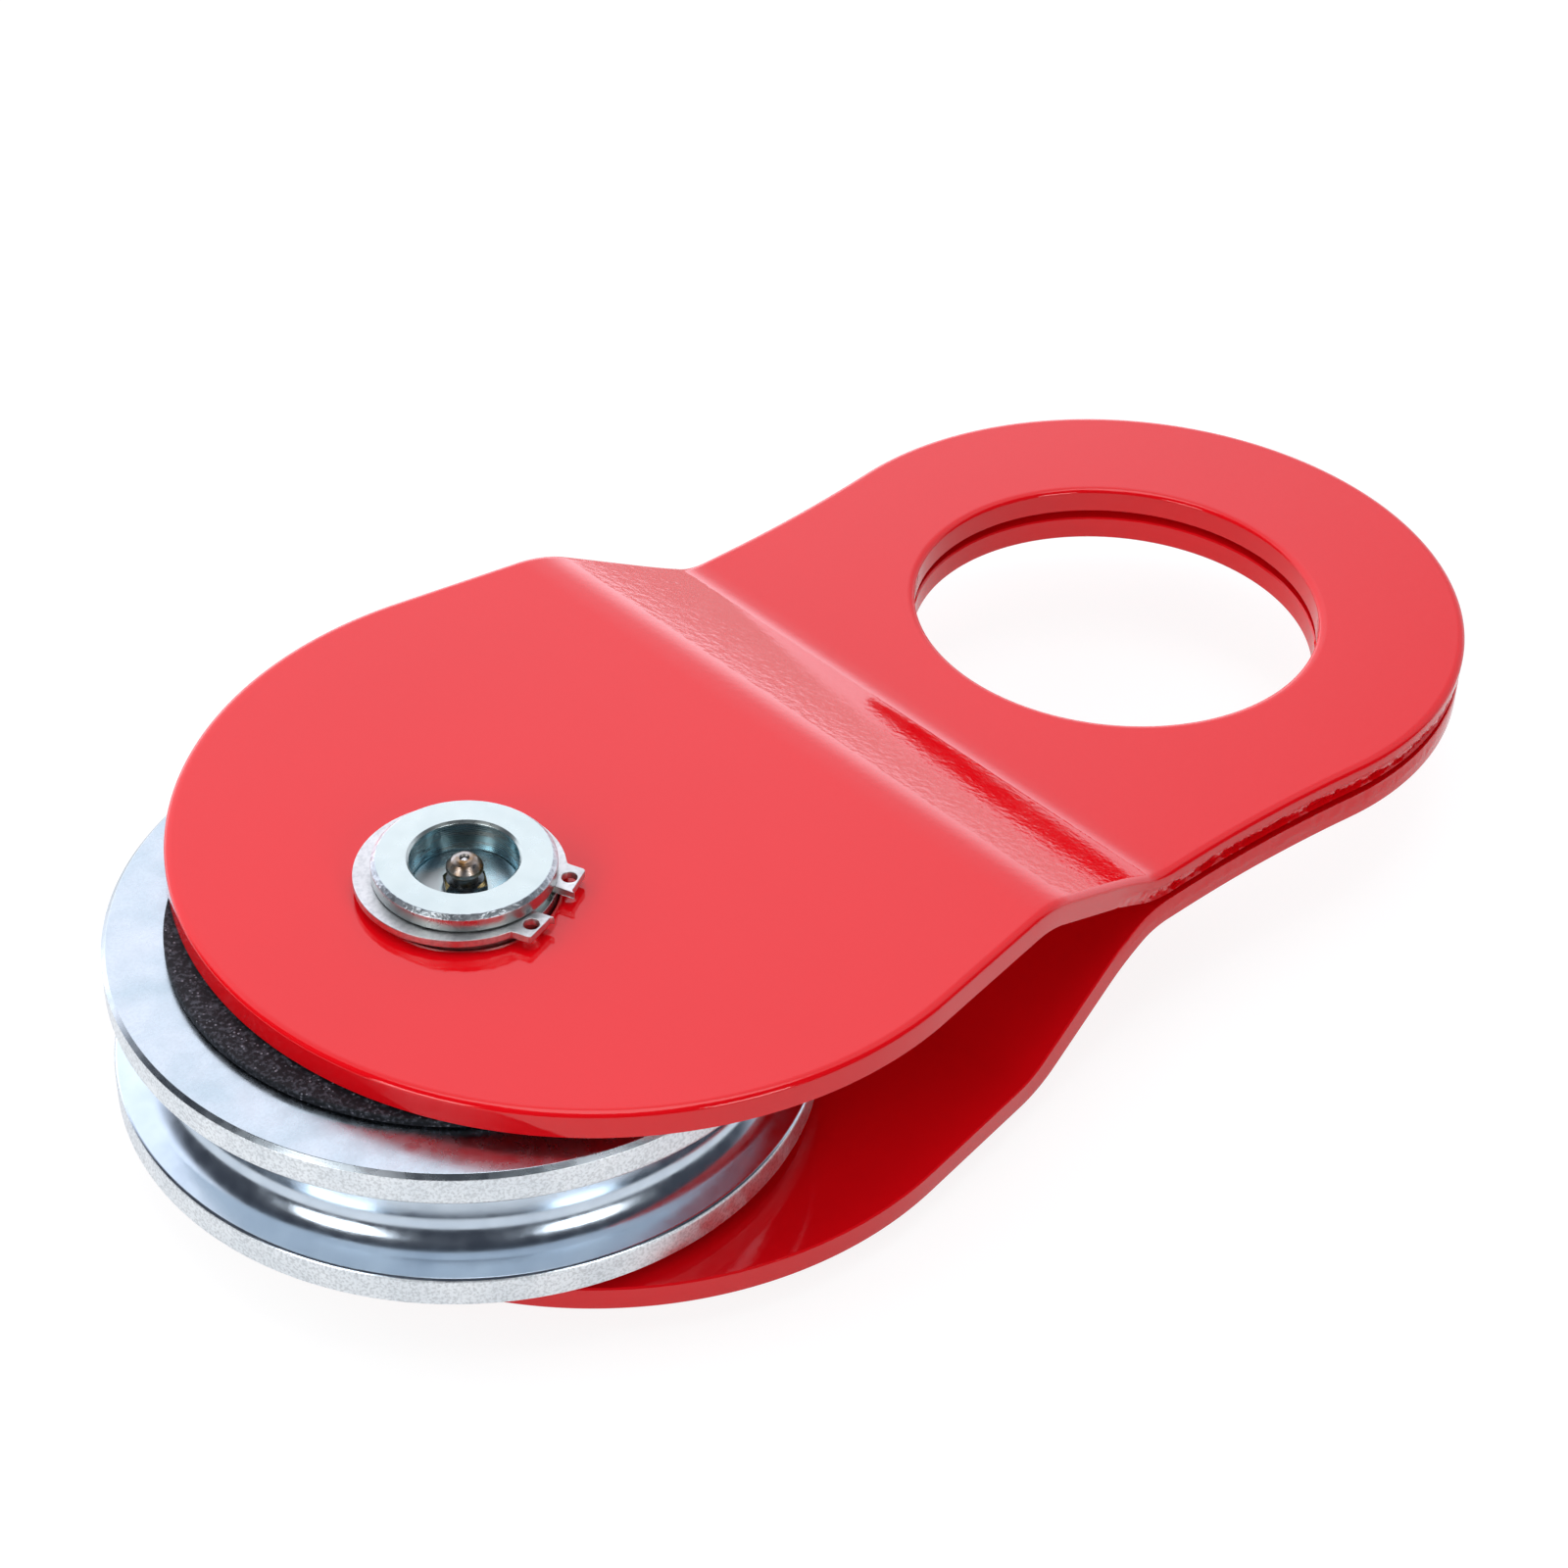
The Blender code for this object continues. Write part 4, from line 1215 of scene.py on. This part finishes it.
@dataclass
class Studio:
    """Camera, lamps, white floor and the room's soft light."""

    azimuth: float = -44.070
    elevation: float = 38.360
    roll: float = 2.202
    lens: float = 74.523
    distance: float = 553.582 * MM
    shift_right: float = -54.541 * MM
    shift_down: float = 12.294 * MM
    floor_glow: float = 0.72
    floor_mirrored: float = 0.6
    window: float = math.radians(75.0)
    wall: tuple[Colour, Colour] = ((0.78, 0.80, 0.88), (1.42, 1.46, 1.60))
    horizon: tuple[Colour, Colour] = ((1.2, 1.23, 1.35), (2.45, 2.5, 2.75))
    ceiling: Colour = (0.95, 0.98, 1.06)
    zenith: Colour = (2.5, 2.55, 2.7)
    dark: Colour = (0.05, 0.055, 0.07)
    pin_top: Vector = field(default_factory=lambda: Vector((0.0, 0.0, 57.4 * MM)))
    target: Vector = field(default_factory=lambda: Vector((80.0 * MM, 0.0, 30.0 * MM)))

    def camera(self) -> None:
        """Stand the camera where the photograph was taken from."""
        a, r = math.radians(self.azimuth), math.radians(self.roll)
        back = way_to(self.azimuth, self.elevation)
        level = Vector((math.cos(a), math.sin(a), 0.0))
        rise = back.cross(level)
        right = level * math.cos(r) + rise * math.sin(r)
        up = rise * math.cos(r) - level * math.sin(r)
        data = bpy.data.cameras.new("camera")
        data.lens = self.lens
        data.sensor_width = 36.0
        data.clip_start = 10.0 * MM
        camera = added("camera", data)
        turn = Matrix((right, up, back)).transposed().to_4x4()
        seen_at = right * self.shift_right - up * self.shift_down - back * self.distance
        camera.matrix_world = Matrix.Translation(self.pin_top - seen_at) @ turn
        bpy.context.scene.camera = camera

    def floor(self) -> None:
        """Lay the white floor, which keeps the block's shadow."""
        bpy.ops.mesh.primitive_plane_add(size=1.7, location=(0.08, 0.0, -0.05 * MM))
        floor = bpy.context.object
        floor.name = "floor"
        graph = Graph(bpy.data.materials.new("white_floor"))
        graph.set(base_color=(0.70, 0.70, 0.70), roughness=0.9)
        path = graph.tree.nodes.new("ShaderNodeLightPath").outputs
        mirrored = graph.math("MAXIMUM", path["Is Glossy Ray"], path["Is Transmission Ray"])
        mirrored = graph.math("MULTIPLY", mirrored, self.floor_mirrored)
        seen = graph.math("MAXIMUM", mirrored, path["Is Camera Ray"])
        share = graph.math("MULTIPLY", seen, self.floor_glow)
        glow = graph.node("Emission", 0, {"Strength": 1.2})
        surface = graph.node("MixShader", 0, {0: share, 1: graph.shader.outputs[0], 2: glow})
        graph.put(graph.tree.nodes["Material Output"].inputs["Surface"], surface)
        floor.data.materials.append(graph.owner)

    def room(self) -> None:
        """Light the room softly: pale behind and above the block, dark behind the camera."""
        world = bpy.data.worlds.new("room")
        bpy.context.scene.world = world
        graph = Graph(world, "Generated")
        level = graph.math("MULTIPLY", graph.place, (1.0, 1.0, 0.0), kind="Vector")
        unit = graph.math("NORMALIZE", level, kind="Vector")
        to_camera = way_to(self.azimuth, 0.0)
        to_window = (math.cos(self.window), math.sin(self.window), 0.0)
        near = graph.fade(graph.math("DOT_PRODUCT", unit, to_camera, kind="Vector"), -0.45, -0.15)
        bright = graph.fade(graph.math("DOT_PRODUCT", unit, to_window, kind="Vector"), 0.6, 0.9)
        rise = graph.axes()[2]
        wall = graph.blend(bright, *self.wall)
        wall = graph.blend(graph.fade(rise, 0.70, 0.88), wall, self.ceiling)
        far = graph.blend(graph.fade(rise, 0.38, 0.04), wall, graph.blend(bright, *self.horizon))
        far = graph.blend(graph.fade(rise, 0.915, 0.945), far, self.zenith)
        behind = graph.blend(graph.fade(rise, 0.980, 0.993), self.dark, self.zenith)
        light = graph.blend(near, far, behind)
        path = graph.tree.nodes.new("ShaderNodeLightPath").outputs
        shown = graph.blend(path["Is Camera Ray"], light, (1.0, 1.0, 1.0))
        graph.put(graph.tree.nodes["Background"].inputs["Color"], shown)

    def build(self) -> None:
        """Set up the studio."""
        scene = bpy.context.scene
        scene.view_settings.view_transform = "Standard"
        self.camera()
        self.floor()
        self.room()
        for lamp in (
            Softbox("left_softbox", self.azimuth - 38.0, 23.0, 0.55, 0.62, 5.6),
            Softbox("right_softbox", self.azimuth + 37.0, 23.0, 0.50, 0.62, 5.6),
            Softbox("left_fill", self.azimuth - 85.0, 32.0, 0.90, 0.80, 2.8, mirrored=False),
            Softbox("overhead_fill", self.azimuth, 86.0, 1.30, 1.30, 0.85, mirrored=False),
        ):
            lamp.build(self.target)


def main() -> None:
    """Build the block and its studio, and report each piece."""
    logging.basicConfig(level=logging.INFO, format="%(name)s %(message)s")
    stack = Stack()
    for part in (SidePlates, Sheave, ThrustWashers, AxlePin, SnapRings, GreaseNipple):
        for piece in part(stack).build():
            LOG.info("%s: %d faces", piece.name, len(piece.data.polygons))
    Studio().build()


if __name__ == "__main__":
    main()
